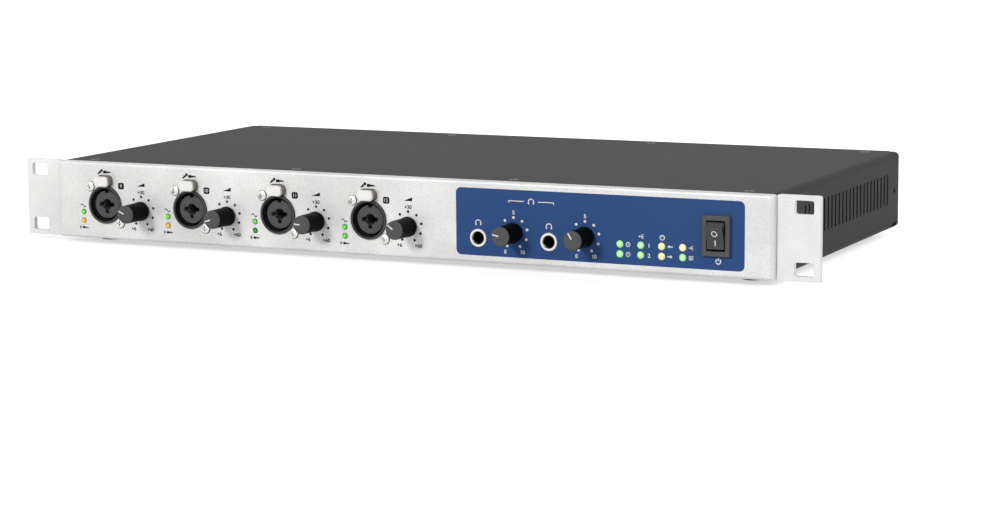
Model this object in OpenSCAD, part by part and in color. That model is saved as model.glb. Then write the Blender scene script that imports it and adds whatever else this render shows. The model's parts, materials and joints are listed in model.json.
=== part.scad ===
// Rack-mount audio interface, one rack unit high.
// Millimetres. X runs across the front panel, Y from front to back and Z up.
// The origin is the centre of the base, on the plane that the feet stand on.

/* [Case] */
// Width of the case without the rack ears
body_w = 436; // [430:1:442]
// Height of the case
body_h = 44; // [43:0.5:48]
// Depth of the case from the front panel's face
body_d = 217; // [205:1:260]
// Thickness of the front panel
panel_t = 4; // [3.5:0.5:6]
// Thickness of the folded sheet metal
sheet = 1.2; // [1:0.1:1.4]
// Outer bend radius of the cover and the tray
bend_r = 3.8; // [3:0.2:4.2]
// Rounding of the front panel's long edges
edge_r = 1.5; // [0.5:0.25:2]
// Rounding of the front panel's two ends
end_r = 2.7; // [1:0.1:3]
// Width of the rear corner posts
post_w = 5.8; // [5:0.2:7]
// Depth of the rear corner posts
post_d = 4.2; // [4:0.2:6]
// Depth of the rear panel behind the corner posts
rear_recess = 1.5; // [1.3:0.1:2.5]
// Depth of the folded foot of the rear panel
rear_flange = 15; // [10:1:25]
// Width of the ledge that carries the top cover
top_flange = 25; // [22:1:30]
// Width of the side panel's foot
foot_flange = 12; // [8:1:14]

/* [Feet] */
// Diameter of a foot
foot_d = 14; // [8:1:18]
// Height of a foot
foot_h = 3.5; // [2:0.5:8]
// Distance of the feet from the sides of the case
foot_side = 20; // [14:1:60]
// Distance of the front feet from the front face
foot_front = 25; // [15:1:50]
// Distance of the rear feet from the rear edge
foot_rear = 17; // [12:1:40]

/* [Rack ears] */
// Width of an ear beside the case
ear_w = 23.3; // [21:0.1:25]
// Thickness of the ear plate
ear_t = 3; // [2:0.5:4]
// Depth of the ears behind the front panel's face
ear_setback = 3.7; // [0:0.1:5]
// Length of the ear's side leg
ear_leg = 20.3; // [16:0.1:30]
// Margin of the side leg above and below
ear_margin = 2.5; // [1:0.5:5]
// Width of a mounting slot
slot_w = 10.3; // [8:0.1:12]
// Height of a mounting slot
slot_h = 7.2; // [6:0.1:8]
// Corner radius of a mounting slot
slot_r = 1.2; // [0.5:0.1:3]
// Distance of the slots' middle from the ear's outer end
slot_inset = 8.75; // [7:0.05:10]
// Distance between the slots of one ear
slot_pitch_z = 31.75; // [28:0.25:32]
// Distance between the two ear screws
ear_screw_pitch = 29; // [20:1:32]
// Distance of the ear screws from the front face
ear_screw_y = 10.5; // [9.5:0.5:16]

/* [Side vents] */
// Number of slots in each side
vent_count = 24; // [4:1:27]
// Distance from slot to slot
vent_pitch = 6.3; // [5:0.1:6.6]
// Width of a slot
vent_w = 2.3; // [1:0.1:3]
// Height of a slot
vent_h = 18.1; // [8:0.1:22]
// Height of the slots' middle
vent_z = 24.2; // [18:0.1:26]
// Distance of the first slot from the front face
vent_y = 48.5; // [40:0.5:55]
// Diameter of the small round hole at each end of the slots
vent_hole = 3; // [1:0.5:5]

/* [Microphone sockets] */
// Distance from channel to channel
channel_pitch = 56.9; // [56:0.1:57.4]
// Place of the first socket from the middle
socket_x0 = -185.4; // [-186:0.1:-184]
// Height of the sockets' axes
socket_z = 19.7; // [19:0.1:21]
// Diameter of the round nose in the panel
nose_d = 21.7; // [21:0.1:22]
// Length of the nose in front of its panel
nose_out = 0.9; // [0:0.1:1.5]
// Diameter of the ring-shaped space for the plug's shell
socket_bore = 19; // [18.6:0.1:19.4]
// Depth of that space
socket_depth = 20; // [15:0.5:22]
// Diameter of the socket insert
insert_d = 15.7; // [15:0.1:16]
// Diameter of the centre hole for a 6.3 mm plug
jack_bore = 6.4; // [6.35:0.05:6.6]
// Width of the socket housing
housing_w = 26; // [25:0.5:26.5]
// Height of the socket housing
housing_h = 34; // [33.5:0.5:35]
// Depth of the socket housing
housing_d = 26; // [24:1:34]
// Distance of the contacts from the socket's axis
contact_r = 4.75; // [4.7:0.05:5]
// Diameter of a contact tube
contact_d = 2.2; // [1.8:0.1:2.3]

/* [Latches] */
// Width of a latch tab
latch_w = 9.8; // [8:0.1:11]
// Height of a latch tab
latch_h = 5.9; // [5:0.1:6]
// Height of the tab's middle above the socket's axis
latch_z = 13.7; // [13.6:0.1:13.8]
// Length of the tab outside the panel
latch_out = 4.5; // [3:0.1:6]
// Corner radius of a latch tab
latch_r = 2.2; // [0.5:0.1:2.4]
// Travel of a latch
latch_travel = 1.5; // [0.5:0.1:2]

/* [Knobs] */
// Place of a gain knob from its socket
gain_dx = 24.2; // [23:0.1:25]
// Height of the knobs' axes
knob_z = 17.2; // [16:0.1:20]
// Diameter of a knob
knob_d = 11; // [8:0.5:14]
// Length of a knob in front of the panel
knob_out = 17; // [12:0.5:22]
// Gap between a knob and the panel
knob_gap = 0.8; // [0.4:0.1:2]
// Diameter of a knob's shaft
shaft_d = 6; // [4:0.5:6]
// Diameter of the potentiometer's neck
neck_d = 7.6; // [7:0.1:8.5]
// Depth of the potentiometer's body
pot_d = 8; // [6:0.5:10]
// Width of the potentiometer's body
pot_w = 11; // [9:0.5:12]
// Resting pointer angles of the gain knobs, clockwise from the top
gain_angles = [-66.8, -104.8, -85.4, -54.4];
// Resting pointer angles of the volume knobs, clockwise from the top
volume_angles = [-78.4, -30.8];

/* [Headphone sockets] */
// Place of the first headphone socket
phones_x0 = 51.6; // [48:0.1:54]
// Distance from headphone socket to headphone socket
phones_pitch = 41.3; // [38:0.1:42]
// Height of the headphone sockets
phones_z = 13.4; // [12:0.1:16]
// Place of a volume knob from its headphone socket
volume_dx = 20.7; // [19:0.1:22]
// Diameter of a headphone socket's ring
phones_ring = 9.5; // [9:0.1:11]
// Width of a headphone socket's body
phones_w = 12; // [11:0.1:13]
// Depth of a headphone socket's body
phones_d = 25; // [22:1:30]

/* [Lamps] */
// Place of the channel lamps from the socket
channel_led_dx = -14.9; // [-15.2:0.1:-14.7]
// Height of the channel lamps
channel_led_z = [15, 10];
// Diameter of a channel lamp
channel_led_d = 3.1; // [2:0.1:3.2]
// Place of the first state lamp
state_led_x0 = 133.3; // [130:0.1:136]
// Distance from state lamp to state lamp
state_led_pitch = 11.67; // [6:0.01:12]
// Height of the state lamps
state_led_z = [14.5, 9.3];
// Diameter of a state lamp
state_led_d = 3.9; // [2:0.1:4.5]
// Length of a lamp in front of the panel
led_out = 0.8; // [0.3:0.1:1.5]

/* [Power switch] */
// Place of the power switch
switch_x = 187.1; // [184:0.1:190]
// Height of the switch's middle
switch_z = 21.7; // [20:0.1:24]
// Width of the switch frame
bezel_w = 15; // [14.6:0.1:17]
// Height of the switch frame
bezel_h = 21; // [20.6:0.1:23]
// Thickness of the switch frame
bezel_out = 2.2; // [1:0.1:3]
// Depth of the switch behind the panel
switch_d = 18; // [14:1:24]
// Width of the rocker in its middle
rocker_w = 9.2; // [8.6:0.1:9.6]
// Radius of the rocker's bulging sides
rocker_bulge = 26; // [26:1:34]
// Gap between the rocker's sides and its frame
rocker_side = 0.6; // [0.4:0.1:0.6]
// Distance of the rocker's two crests from its middle
crest_y = 5.6; // [5:0.1:5.8]
// Height of the crests above the pivot
crest_out = 4.9; // [4.5:0.1:5.2]
// Depth of the hollow between the crests
rocker_hollow = 0.9; // [0.3:0.1:1.2]
// Half height of the rocker at its foot
rocker_v = 7.7; // [7.5:0.1:8]
// Tilt of the resting rocker
rocker_tilt = 16.5; // [10:0.5:17]
// Depth of the rocker's pivot behind the panel's face
pivot_depth = 0.7; // [0.6:0.1:2]
// Diameter of the rocker's axle
axle_d = 2; // [1.5:0.1:2.4]

/* [Mains inlet] */
// Place of the mains inlet, seen from the rear
inlet_x = -186; // [-188:0.1:-184]
// Height of the inlet's middle
inlet_z = 20.3; // [19:0.1:22]
// Width of the inlet's frame
inlet_w = 30.3; // [30:0.1:31]
// Height of the inlet's frame
inlet_h = 22.6; // [22.4:0.1:24]
// Width of the inlet's mouth
mouth_w = 24; // [23.6:0.1:24.4]
// Height of the inlet's mouth
mouth_h = 16; // [15.8:0.1:16.4]
// Depth of the pins' tips in the inlet's mouth
pin_recess = 4.5; // [3:0.1:6]
// Depth of the inlet's mouth
mouth_d = 17; // [15:0.5:20]

/* [Cord loop] */
// Place of the cord loop, seen from the rear
loop_x = -157.8; // [-160:0.1:-156]
// Height of the cord loop
loop_z = 34.4; // [30:0.1:37]
// Distance between the loop's legs
loop_w = 13.2; // [11:0.1:16]
// Thickness of the wire
wire_d = 2.5; // [2:0.1:3]
// Reach of the loop behind the rear panel
loop_out = 25.5; // [23:0.5:30]

/* [Control sockets] */
// Places of the round five-hole sockets, seen from the rear
midi_x = [-138.9, -117.9];
// Height of the round five-hole sockets
midi_z = 18; // [17:0.1:20]
// Diameter of the five-hole socket's collar
midi_d = 16.7; // [15:0.1:17]
// Diameter of its core
midi_core = 12.7; // [12:0.1:12.8]
// Place of the mode button, seen from the rear
button_x = -100.4; // [-101:0.1:-99.5]
// Height of the mode button
button_z = 12.3; // [11:0.1:14]
// Width of the mode button
button_w = 3; // [2:0.1:3.4]
// Length of the mode button outside its frame
button_out = 0.8; // [0.7:0.1:2]
// Travel of the mode button
button_travel = 0.6; // [0.3:0.1:0.7]
// Place of the square data socket, seen from the rear
square_x = -87.7; // [-88:0.1:-87]
// Height of the square data socket
square_z = 13.1; // [12.9:0.1:14]
// Width of its shell
square_w = 12.6; // [12:0.1:13]
// Height of its shell
square_h = 11.6; // [11:0.1:12]
// Place of the tall data socket, seen from the rear
tall_x = -72.8; // [-73.5:0.1:-72.5]
// Height of the tall data socket
tall_z = 15; // [14.8:0.1:16]
// Width of its shell
tall_w = 6.5; // [6.3:0.1:7]
// Height of its shell
tall_h = 14.9; // [14.4:0.1:15.2]

/* [Optical sockets] */
// Place of the first optical socket, seen from the rear
optical_x0 = -78.75; // [-80:0.05:-78]
// Distance from optical socket to optical socket
optical_pitch = 13.4; // [12:0.1:14]
// Height of the optical sockets
optical_z = 30.9; // [30.8:0.1:31.5]
// Width of an optical socket
optical_w = 10.5; // [10:0.1:11]
// Width of its square mouth
optical_mouth = 8.4; // [8:0.1:8.6]
// Depth of an optical socket
optical_d = 14; // [13:0.5:20]
// Depth of its inner flap's axis
flap_depth = 2.3; // [1.6:0.1:3]
// Thickness of the flap
flap_t = 0.8; // [0.6:0.1:1]
// Diameter of the flap's pin
flap_pin = 1; // [0.8:0.1:1.1]

/* [Coaxial sockets] */
// Places of the coaxial sockets, seen from the rear
coax_x = [-55, -38];
// Height of the coaxial sockets
coax_z = 14.8; // [14:0.1:17]
// Diameter of a coaxial socket's barrel
coax_d = 9.7; // [9:0.1:10.5]
// Length of a coaxial socket behind the rear panel
coax_out = 19.5; // [16:0.5:22]
// Width of its nut across the flats
coax_nut = 15.5; // [13:0.5:16]

/* [Digital sockets] */
// Place of the three-pin output, seen from the rear
plug_x = 16.3; // [14:0.1:17]
// Place of the three-hole input, seen from the rear
input_x = 41.9; // [41.5:0.1:43]
// Height of both
digital_z = 20.1; // [19.5:0.1:20.5]
// Width of their housings
digital_w = 24.6; // [24:0.1:24.8]
// Diameter of the cavity around the pins
cavity_d = 18; // [17:0.1:18.4]
// Diameter of a pin
pin_d = 2.4; // [2.2:0.1:2.6]
// Diameter of the input's insert
input_insert_d = 15; // [14.6:0.1:15.4]

/* [Line sockets] */
// Places of the first output and the first input column, seen from the rear
line_x0 = [72.8, 147.6];
// Distance from column to column
line_pitch = 16.05; // [15.5:0.05:16.4]
// Height of the lower row
line_z = 14.3; // [13.5:0.1:15]
// Distance between the rows
line_rise = 16.7; // [15:0.1:17]
// Diameter of a line socket's ring
line_ring = 9.2; // [8.8:0.1:10]
// Width of a line socket's body
line_w = 14.5; // [13:0.1:15]
// Depth of a line socket's body
line_d = 24; // [22:1:32]

/* [Boards] */
// Thickness of a circuit board
board_t = 1.6; // [1:0.1:2]
// Height of the board standoffs
standoff_h = 4; // [3.2:0.1:4.2]
// Distance of the main board from the front face
main_y = 48; // [44:1:70]
// Right end of the main board
main_x = 150; // [150:1:153]
// Left end of the power board
power_x = 158; // [157:1:160]
// Distance of the power board from the front face
power_y = 60; // [50:1:80]
// Width of the transformer's core
core_w = 30; // [24:1:32]
// Depth of the transformer's core
core_d = 26; // [20:1:30]
// Height of the transformer's core
core_h = 24; // [18:1:30]
// Diameter of a capacitor
capacitor_d = 16; // [12:0.5:16.5]
// Height of a capacitor
capacitor_h = 28; // [20:1:31]

/* [Hidden] */
$fn = 48;
fit = 0.1;
gap = 0.3;
run = 0.05;
over = 1;
rear_y = body_d - rear_recess;
inner_y = rear_y - sheet;
mid_y = (rear_y + loop_out - knob_out) / 2;
board_z = sheet + standoff_h;
board_top = board_z + board_t;
front_board_y = panel_t + pot_d;
bezel_rim = 0.7;
axle_end = 1.6;
inlet_rim = 1.3;
neck_l = 8;
midi_wall = 1.3;
digital_low = digital_z - board_top - fit;
cable_w = 18;
cover_screw_l = 4.2;
web_x = body_w / 2 - 2 * sheet - fit;
tray_end = rear_y - rear_flange;
socket_xs = [for (k = [0:3]) socket_x0 + k * channel_pitch];
gain_xs = [for (x = socket_xs) x + gain_dx];
phones_xs = [for (k = [0, 1]) phones_x0 + k * phones_pitch];
volume_xs = [for (x = phones_xs) x + volume_dx];
knob_xs = concat(gain_xs, volume_xs);
optical_xs = [for (k = [0:3]) optical_x0 + k * optical_pitch];
line_xs = [for (x = line_x0, k = [0:3]) x + k * line_pitch];
line_zs = [line_z, line_z + line_rise];
housing_up = 1.5;
screw_xz = [[-9.9, 10.3], [9.9, -10.1]];
screw_d = 2.9;
screw_head = 5.2;
screw_rise = 1.3;
hole_d = screw_d + 2 * fit;
cover_screw_xs = [-200, -66.7, 66.7, 200];
cover_screw_ys = [12.5, body_d - 10];
vent_ends = [vent_y - 16.5, vent_y + (vent_count - 1) * vent_pitch + 13.6];
main_posts = [for (x = [12 - web_x + foot_flange, main_x / 3 - 20, main_x - 8], y = [main_y + 8, inner_y - 40]) [x, y]];
power_posts = [for (x = [power_x + 6, web_x - foot_flange - 8], y = [power_y + 6, inner_y - 36]) [x, y]];
power_end = inner_y - 26;

// ---------- Placing ----------

// Moves the case, drawn from its front face and lower edge, onto the feet's plane
module place() {
    translate([0, -mid_y, foot_h]) children();
}

// Draws as seen from the front: x to the right, y up, z out of the front face
module on_front(x = 0, z = 0, out = 0) {
    place() translate([x, -out, z]) rotate([90, 0, 0]) children();
}

// Draws as seen from the rear: x to the right, y up, z out of the rear panel
module on_rear(x = 0, z = 0, out = 0) {
    place() translate([-x, rear_y + out, z]) rotate([90, 0, 180]) children();
}

// Extrudes a flat shape, x across and y up, from one depth to another
module along_y(from, to) {
    translate([0, to, 0]) rotate([90, 0, 0]) linear_extrude(to - from) children();
}

// Extrudes a flat shape, x to the back and y up, from one width to another
module along_x(from, to) {
    translate([from, 0, 0]) rotate([90, 0, 90]) linear_extrude(to - from) children();
}

// ---------- Shapes ----------

// Rectangle with round corners
module rounded(w, h, r) {
    square([w - 2 * r, h], center = true);
    square([w, h - 2 * r], center = true);
    for (x = [-1, 1], y = [-1, 1])
        translate([x * (w / 2 - r), y * (h / 2 - r)]) circle(r);
}

// Strip whose two front corners are round, from y = 0 back to y = t
module round_front(w, t, r) {
    intersection() {
        translate([-w / 2, 0]) square([w, t]);
        union() {
            translate([-w / 2, r]) square([w, t]);
            translate([r - w / 2, 0]) square([w - 2 * r, t]);
            for (x = [-1, 1]) translate([x * (w / 2 - r), r]) circle(r);
        }
    }
}

// Straight box from one depth to another, centred on the axis
module slab(w, h, from, to) {
    translate([-w / 2, -h / 2, from]) cube([w, h, to - from]);
}

// Straight tube or rod from one depth to another
module rod(d, from, to) {
    translate([0, 0, from]) cylinder(d = d, h = to - from);
}

// Cross-shaped recess in a screw's head
module cross_recess(size, depth) {
    for (a = [0, 90]) rotate([0, 0, a])
        translate([-size / 2, -size / 9, -depth]) cube([size, size / 4.5, depth + over]);
}

// Countersunk screw with its head flush at z = 0
module flat_screw(head, length) {
    cone = (head - screw_d) / 2;
    difference() {
        union() {
            translate([0, 0, -cone]) cylinder(d1 = screw_d, d2 = head, h = cone);
            rod(screw_d, -length, -cone + 0.01);
        }
        cross_recess(head * 0.6, 0.8);
    }
}

// Countersunk hole for that screw
module flat_hole(head, length) {
    cone = (head - screw_d) / 2;
    translate([0, 0, -cone]) cylinder(d1 = hole_d, d2 = head + 2 * fit, h = cone + 0.001);
    rod(head + 2 * fit, 0, over);
    rod(hole_d, -length, 0);
}

// Dome-headed screw whose head stands on z = 0
module pan_screw(head, rise, shank, length) {
    difference() {
        union() {
            rotate_extrude() intersection() {
                translate([0, rise - head]) circle(head);
                square([head / 2, rise]);
            }
            rod(shank, -length, 0.01);
        }
        translate([0, 0, rise]) cross_recess(head * 0.55, rise * 0.6);
    }
}

// ---------- Case ----------

module case_profile(inset) {
    translate([0, body_h / 2])
        rounded(body_w - 2 * inset, body_h - 2 * inset, bend_r - inset);
}

// Folded shell of the cover or the tray, before it is cut to its own height
module case_shell(end) {
    difference() {
        along_y(panel_t, end) difference() {
            case_profile(0);
            case_profile(sheet);
        }
        post_cuts();
    }
}

// Room for the two corner posts
module post_cuts() {
    for (side = [-1, 1])
        translate([side * body_w / 2, body_d, body_h / 2])
            cube([2 * (post_w + gap), 2 * (post_d + gap), body_h + 2], center = true);
}

module latch_cut(depth, wide) {
    translate([0, latch_z, -depth]) linear_extrude(depth + nose_out + over)
        rounded(latch_w + wide + 2 * gap, latch_h + 2 * gap, latch_r + gap);
}

module front_panel() {
    color("gainsboro") difference() {
        place() intersection() {
            linear_extrude(body_h) round_front(body_w, panel_t, end_r);
            translate([body_w / 2, 0, body_h / 2]) rotate([0, -90, 0])
                linear_extrude(body_w) round_front(body_h, panel_t, edge_r);
            along_y(-over, panel_t + over) translate([0, body_h / 2])
                rounded(body_w, body_h, edge_r);
        }
        for (x = socket_xs) on_front(x, socket_z) {
            rod(nose_d + 2 * fit, -panel_t - over, over);
            latch_cut(panel_t + over, 0);
            for (p = screw_xz) translate(p) rod(hole_d, -panel_t - over, over);
        }
        for (x = knob_xs) on_front(x, knob_z) rod(neck_d + 2 * fit, -panel_t - over, over);
        for (x = phones_xs) on_front(x, phones_z)
            rod(neck_of(phones_ring) + 2 * fit, -panel_t - over, over);
        for (x = socket_xs, z = channel_led_z)
            on_front(x + channel_led_dx, z) rod(channel_led_d + 2 * fit, -panel_t - over, over);
        for (k = [0:3], z = state_led_z)
            on_front(state_led_x0 + k * state_led_pitch, z)
                rod(state_led_d + 2 * fit, -panel_t - over, over);
        on_front(switch_x, switch_z)
            slab(bezel_w - 2 * bezel_rim + 2 * fit, bezel_h - 2 * bezel_rim + 2 * fit,
                -panel_t - over, over);
    }
}

module top_cover() {
    color("dimgray") difference() {
        place() intersection() {
            case_shell(body_d - gap);
            translate([-body_w, 0, body_h - bend_r]) cube([2 * body_w, body_d, body_h]);
        }
        place() for (x = cover_screw_xs, y = cover_screw_ys)
            translate([x, y, body_h]) flat_hole(screw_head, 2 * sheet);
    }
}

module bottom_tray() {
    color("dimgray") place() {
        intersection() {
            case_shell(tray_end - gap);
            translate([-body_w, 0, 0]) cube([2 * body_w, body_d, bend_r]);
        }
        translate([foot_flange - web_x + over, tray_end - 12, sheet])
            cube([2 * (web_x - foot_flange - over), 20, sheet]);
    }
}

// Corner post at the rear end of a side panel
module corner_post() {
    intersection() {
        translate([body_w / 2 - post_w / 2, body_d, 0]) rotate([0, 0, 180])
            linear_extrude(body_h) round_front(post_w, post_d, post_w * 0.42);
        translate([0, body_d, body_h / 2]) rotate([0, -90, 180]) linear_extrude(body_w)
            round_front(body_h, post_d + over, post_d * 0.6);
        along_y(0, body_d + over) case_profile(0);
    }
}

// Channel-shaped side of the case with its outer skin, for the right side
module side_panel_right() {
    difference() {
        union() {
            along_y(panel_t, body_d - post_d + 0.1)
                translate([web_x - 0.2 + sheet, bend_r + fit])
                    square([body_w / 2 - web_x + 0.2 - sheet, body_h - 2 * bend_r - 2 * fit]);
            along_y(panel_t, inner_y - 3 * gap) intersection() {
                difference() {
                    case_profile(sheet + fit);
                    case_profile(2 * sheet + fit);
                }
                union() {
                    translate([body_w / 2 - foot_flange, 0]) square([foot_flange, body_h / 2]);
                    translate([body_w / 2 - top_flange, body_h / 2])
                        square([top_flange, body_h / 2]);
                }
            }
            translate([web_x - foot_flange + 2, panel_t, 4])
                cube([foot_flange - 1.9, sheet, body_h - 8]);
            corner_post();
        }
        for (k = [0:vent_count - 1])
            along_x(web_x - over, body_w) translate([vent_y + k * vent_pitch, vent_z])
                rounded(vent_w, vent_h, vent_w * 0.4);
        for (y = vent_ends)
            translate([web_x - over, y, body_h / 2]) rotate([0, 90, 0])
                cylinder(d = vent_hole, h = body_w);
        for (z = [-1, 1])
            translate([web_x - over, ear_screw_y, body_h / 2 + z * ear_screw_pitch / 2])
                rotate([0, 90, 0]) cylinder(d = hole_d, h = body_w);
        for (y = cover_screw_ys)
            translate([cover_screw_xs[3], y, body_h]) rod(hole_d, -3 * sheet, 0);
    }
}

module left_side_panel() {
    color("dimgray") place() mirror([1, 0, 0]) side_panel_right();
}

module right_side_panel() {
    color("dimgray") place() side_panel_right();
}

module socket_holes() {
    for (x = line_xs, z = line_zs)
        on_rear(x, z) rod(neck_of(line_ring) + 2 * fit, -sheet - over, over);
}

module rear_panel() {
    bend = 2.2;
    top = body_h - sheet - 0.5;
    color("dimgray") difference() {
        place() along_x(-web_x + gap, web_x - gap) {
            translate([inner_y, bend]) square([sheet, top - bend]);
            translate([tray_end, 0]) square([rear_flange - bend, sheet]);
            translate([rear_y - bend, bend]) intersection() {
                difference() {
                    circle(bend);
                    circle(bend - sheet);
                }
                translate([0, -bend]) square([bend, bend]);
            }
        }
        place() post_cuts();
        socket_holes();
        on_rear(inlet_x, inlet_z)
            slab(inlet_w - 2 * inlet_rim + 2 * fit, inlet_h - 2 * inlet_rim + 2 * fit,
                -sheet - over, over);
        for (side = [-1, 1]) on_rear(loop_x + side * loop_w / 2, loop_z)
            rod(wire_d + 2 * fit, -sheet - over, over);
        for (x = midi_x) on_rear(x, midi_z) rod(midi_d + 2 * fit, -sheet - over, over);
        on_rear(button_x, button_z)
            slab(frame_of_button() + 2 * fit, frame_of_button() + 2 * fit, -sheet - over, over);
        on_rear(square_x, square_z)
            slab(square_w + 2 * fit, square_h + 2 * fit, -sheet - over, over);
        on_rear(tall_x, tall_z) slab(tall_w + 2 * fit, tall_h + 2 * fit, -sheet - over, over);
        for (x = optical_xs) on_rear(x, optical_z)
            slab(optical_w + 2 * fit, optical_w + 2 * fit, -sheet - over, over);
        for (x = coax_x) on_rear(x, coax_z) rod(coax_d + 2 * fit, -sheet - over, over);
        for (x = [plug_x, input_x]) on_rear(x, digital_z) {
            rod(nose_d + 2 * fit, -sheet - over, over);
            for (p = screw_xz) translate(p) rod(hole_d, -sheet - over, over);
        }
        on_rear(input_x, digital_z) latch_cut(sheet + over, 0);
    }
}

// L-shaped bracket that carries one end of the case in the rack
module rack_ear() {
    inner_x = body_w / 2 + fit;
    plate_w = ear_w - fit;
    difference() {
        union() {
            along_y(ear_setback, ear_setback + ear_t)
                translate([inner_x + plate_w / 2, body_h / 2]) rounded(plate_w, body_h, 1);
            translate([inner_x, ear_setback, ear_margin])
                cube([ear_t, ear_leg, body_h - 2 * ear_margin]);
        }
        for (z = [-1, 1]) {
            along_y(-over, ear_setback + ear_leg)
                translate([body_w / 2 + ear_w - slot_inset, body_h / 2 + z * slot_pitch_z / 2])
                    rounded(slot_w, slot_h, slot_r);
            translate([body_w / 2 - over, ear_screw_y, body_h / 2 + z * ear_screw_pitch / 2])
                rotate([0, 90, 0]) cylinder(d = hole_d, h = ear_t + 2);
        }
    }
}

module left_rack_ear() {
    color("gainsboro") place() mirror([1, 0, 0]) rack_ear();
}

module right_rack_ear() {
    color("gainsboro") place() rack_ear();
}

module rubber_feet() {
    color("black") place()
        for (side = [-1, 1], y = [foot_front, body_d - foot_rear])
            translate([side * (body_w / 2 - foot_side), y, -foot_h]) rotate_extrude() difference() {
                polygon([[0, 0], [foot_d / 2 - 0.8, 0], [foot_d / 2, 0.8], [foot_d / 2, foot_h],
                    [0, foot_h]]);
                polygon([[0, -over], [foot_d / 6, -over], [foot_d / 6, foot_h * 0.4],
                    [0, foot_h * 0.4]]);
            }
}

// ---------- Screws ----------

module cover_screws() {
    color("black") place() for (x = cover_screw_xs, y = cover_screw_ys)
        translate([x, y, body_h]) flat_screw(screw_head, cover_screw_l);
}

module ear_screws() {
    color("silver") place() for (side = [-1, 1], z = [-1, 1])
        translate([side * (body_w / 2 + fit + ear_t), ear_screw_y,
            body_h / 2 + z * ear_screw_pitch / 2])
            rotate([0, side * 90, 0]) pan_screw(6, 2, screw_d, ear_t + 5);
}

module front_connector_screws() {
    color("silver") for (x = socket_xs, p = screw_xz)
        on_front(x + p[0], socket_z + p[1])
            pan_screw(screw_head, screw_rise, screw_d, panel_t + 6);
}

module rear_connector_screws() {
    color("black") for (x = [plug_x, input_x], p = screw_xz)
        on_rear(x + p[0], digital_z + p[1])
            pan_screw(screw_head, screw_rise, screw_d, sheet + 6);
}

// ---------- Microphone sockets ----------

// Three places around a socket's axis: left, right and below
function contact_places(r) = [[-r, 0], [r, 0], [0, -r]];

// Housing behind a panel, reaching from a depth below its axis to its full height
module socket_housing(wall, w, low, depth, jack) {
    difference() {
        union() {
            translate([-w / 2, -low, -wall - depth])
                cube([w, low + housing_h / 2 + housing_up, depth]);
            rod(nose_d, -wall - 0.01, nose_out);
        }
        rod(socket_bore, -socket_depth, nose_out + over);
        rod(jack + 2 * gap, -wall - depth - over, 0);
        latch_cut(wall + 10 + latch_travel + gap, 2.4);
        for (p = screw_xz) translate(p) {
            rod(hole_d, -wall - 8, 0);
            rod(screw_head + 2 * gap, 0, nose_out + over);
        }
    }
}

module mic_socket_housings() {
    color([0.12, 0.12, 0.12]) for (x = socket_xs)
        on_front(x, socket_z) socket_housing(panel_t, housing_w, housing_h / 2 - housing_up, housing_d,
            jack_bore);
}

module mic_socket_inserts() {
    face = -1.6;
    mouth = 2.5;
    mouth_r = contact_r - 0.8;
    color([0.25, 0.25, 0.26]) for (x = socket_xs) on_front(x, socket_z) difference() {
        rod(insert_d, -socket_depth, face);
        rod(jack_bore, -socket_depth - over, 0);
        for (p = contact_places(mouth_r)) translate(p) rod(2.7, face - mouth, 0);
        for (p = contact_places(contact_r)) translate(p)
            rod(contact_d + 2 * fit, -socket_depth - over, face - mouth + 0.01);
        translate([0, insert_d / 2 - 0.3, 0]) slab(2.4, 2, face - 6, over);
    }
}

module mic_socket_contacts() {
    color("gold") for (x = socket_xs) on_front(x, socket_z)
        for (p = contact_places(contact_r)) translate(p) difference() {
            rod(contact_d, -socket_depth, -5.5);
            rod(contact_d - 0.6, -socket_depth + 3, -5);
        }
}

module latch(wall) {
    edge = 0.4;
    translate([0, latch_z, 0]) {
        translate([0, 0, -wall - 10]) linear_extrude(wall + 10 + latch_out - edge)
            rounded(latch_w, latch_h, latch_r);
        translate([0, 0, latch_out - edge - 0.01]) linear_extrude(edge)
            rounded(latch_w - 2 * edge, latch_h - 2 * edge, latch_r - edge);
        translate([0, 0, -wall - 5]) linear_extrude(5 - gap)
            rounded(latch_w + 2.2, latch_h, latch_r);
    }
}

module socket_latch(k) {
    color("silver") on_front(socket_xs[k], socket_z) latch(panel_t);
}

module socket_latch_1() {
    socket_latch(0);
}

module socket_latch_2() {
    socket_latch(1);
}

module socket_latch_3() {
    socket_latch(2);
}

module socket_latch_4() {
    socket_latch(3);
}

// ---------- Jack sockets ----------

// Threaded neck that goes through the panel behind a ring
function neck_of(ring) = ring - 1.2;

module jack_ring(ring, wall) {
    difference() {
        union() {
            rod(ring, 0, 0.6);
            rod(neck_of(ring), -wall - neck_l, 0.01);
        }
        rod(jack_bore, -wall - neck_l - over, over);
        translate([0, 0, 0.3]) cylinder(d1 = jack_bore, d2 = jack_bore + 0.7, h = 0.31);
    }
}

module jack_rings() {
    color("silver") {
        for (x = phones_xs) on_front(x, phones_z) jack_ring(phones_ring, panel_t);
        for (x = line_xs, z = line_zs) on_rear(x, z) jack_ring(line_ring, sheet);
    }
}

module jack_cavity(ring, wall, depth) {
    rod(neck_of(ring) + 2 * fit, -wall - neck_l, 0);
    rod(jack_bore + 1, -wall - depth + 1, 0);
}

module jack_bodies() {
    top = line_zs[1] + line_w / 2 - 0.5;
    color([0.1, 0.1, 0.1]) {
        for (x = phones_xs) on_front(x, phones_z) difference() {
            slab(phones_w, phones_w, -panel_t - phones_d, -panel_t);
            jack_cavity(phones_ring, panel_t, phones_d);
        }
        for (x = line_xs) difference() {
            on_rear(x, (board_top + top) / 2)
                slab(line_w, top - board_top, -sheet - line_d, -sheet);
            for (z = line_zs) on_rear(x, z) jack_cavity(line_ring, sheet, line_d);
        }
    }
}

// ---------- Knobs ----------

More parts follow.
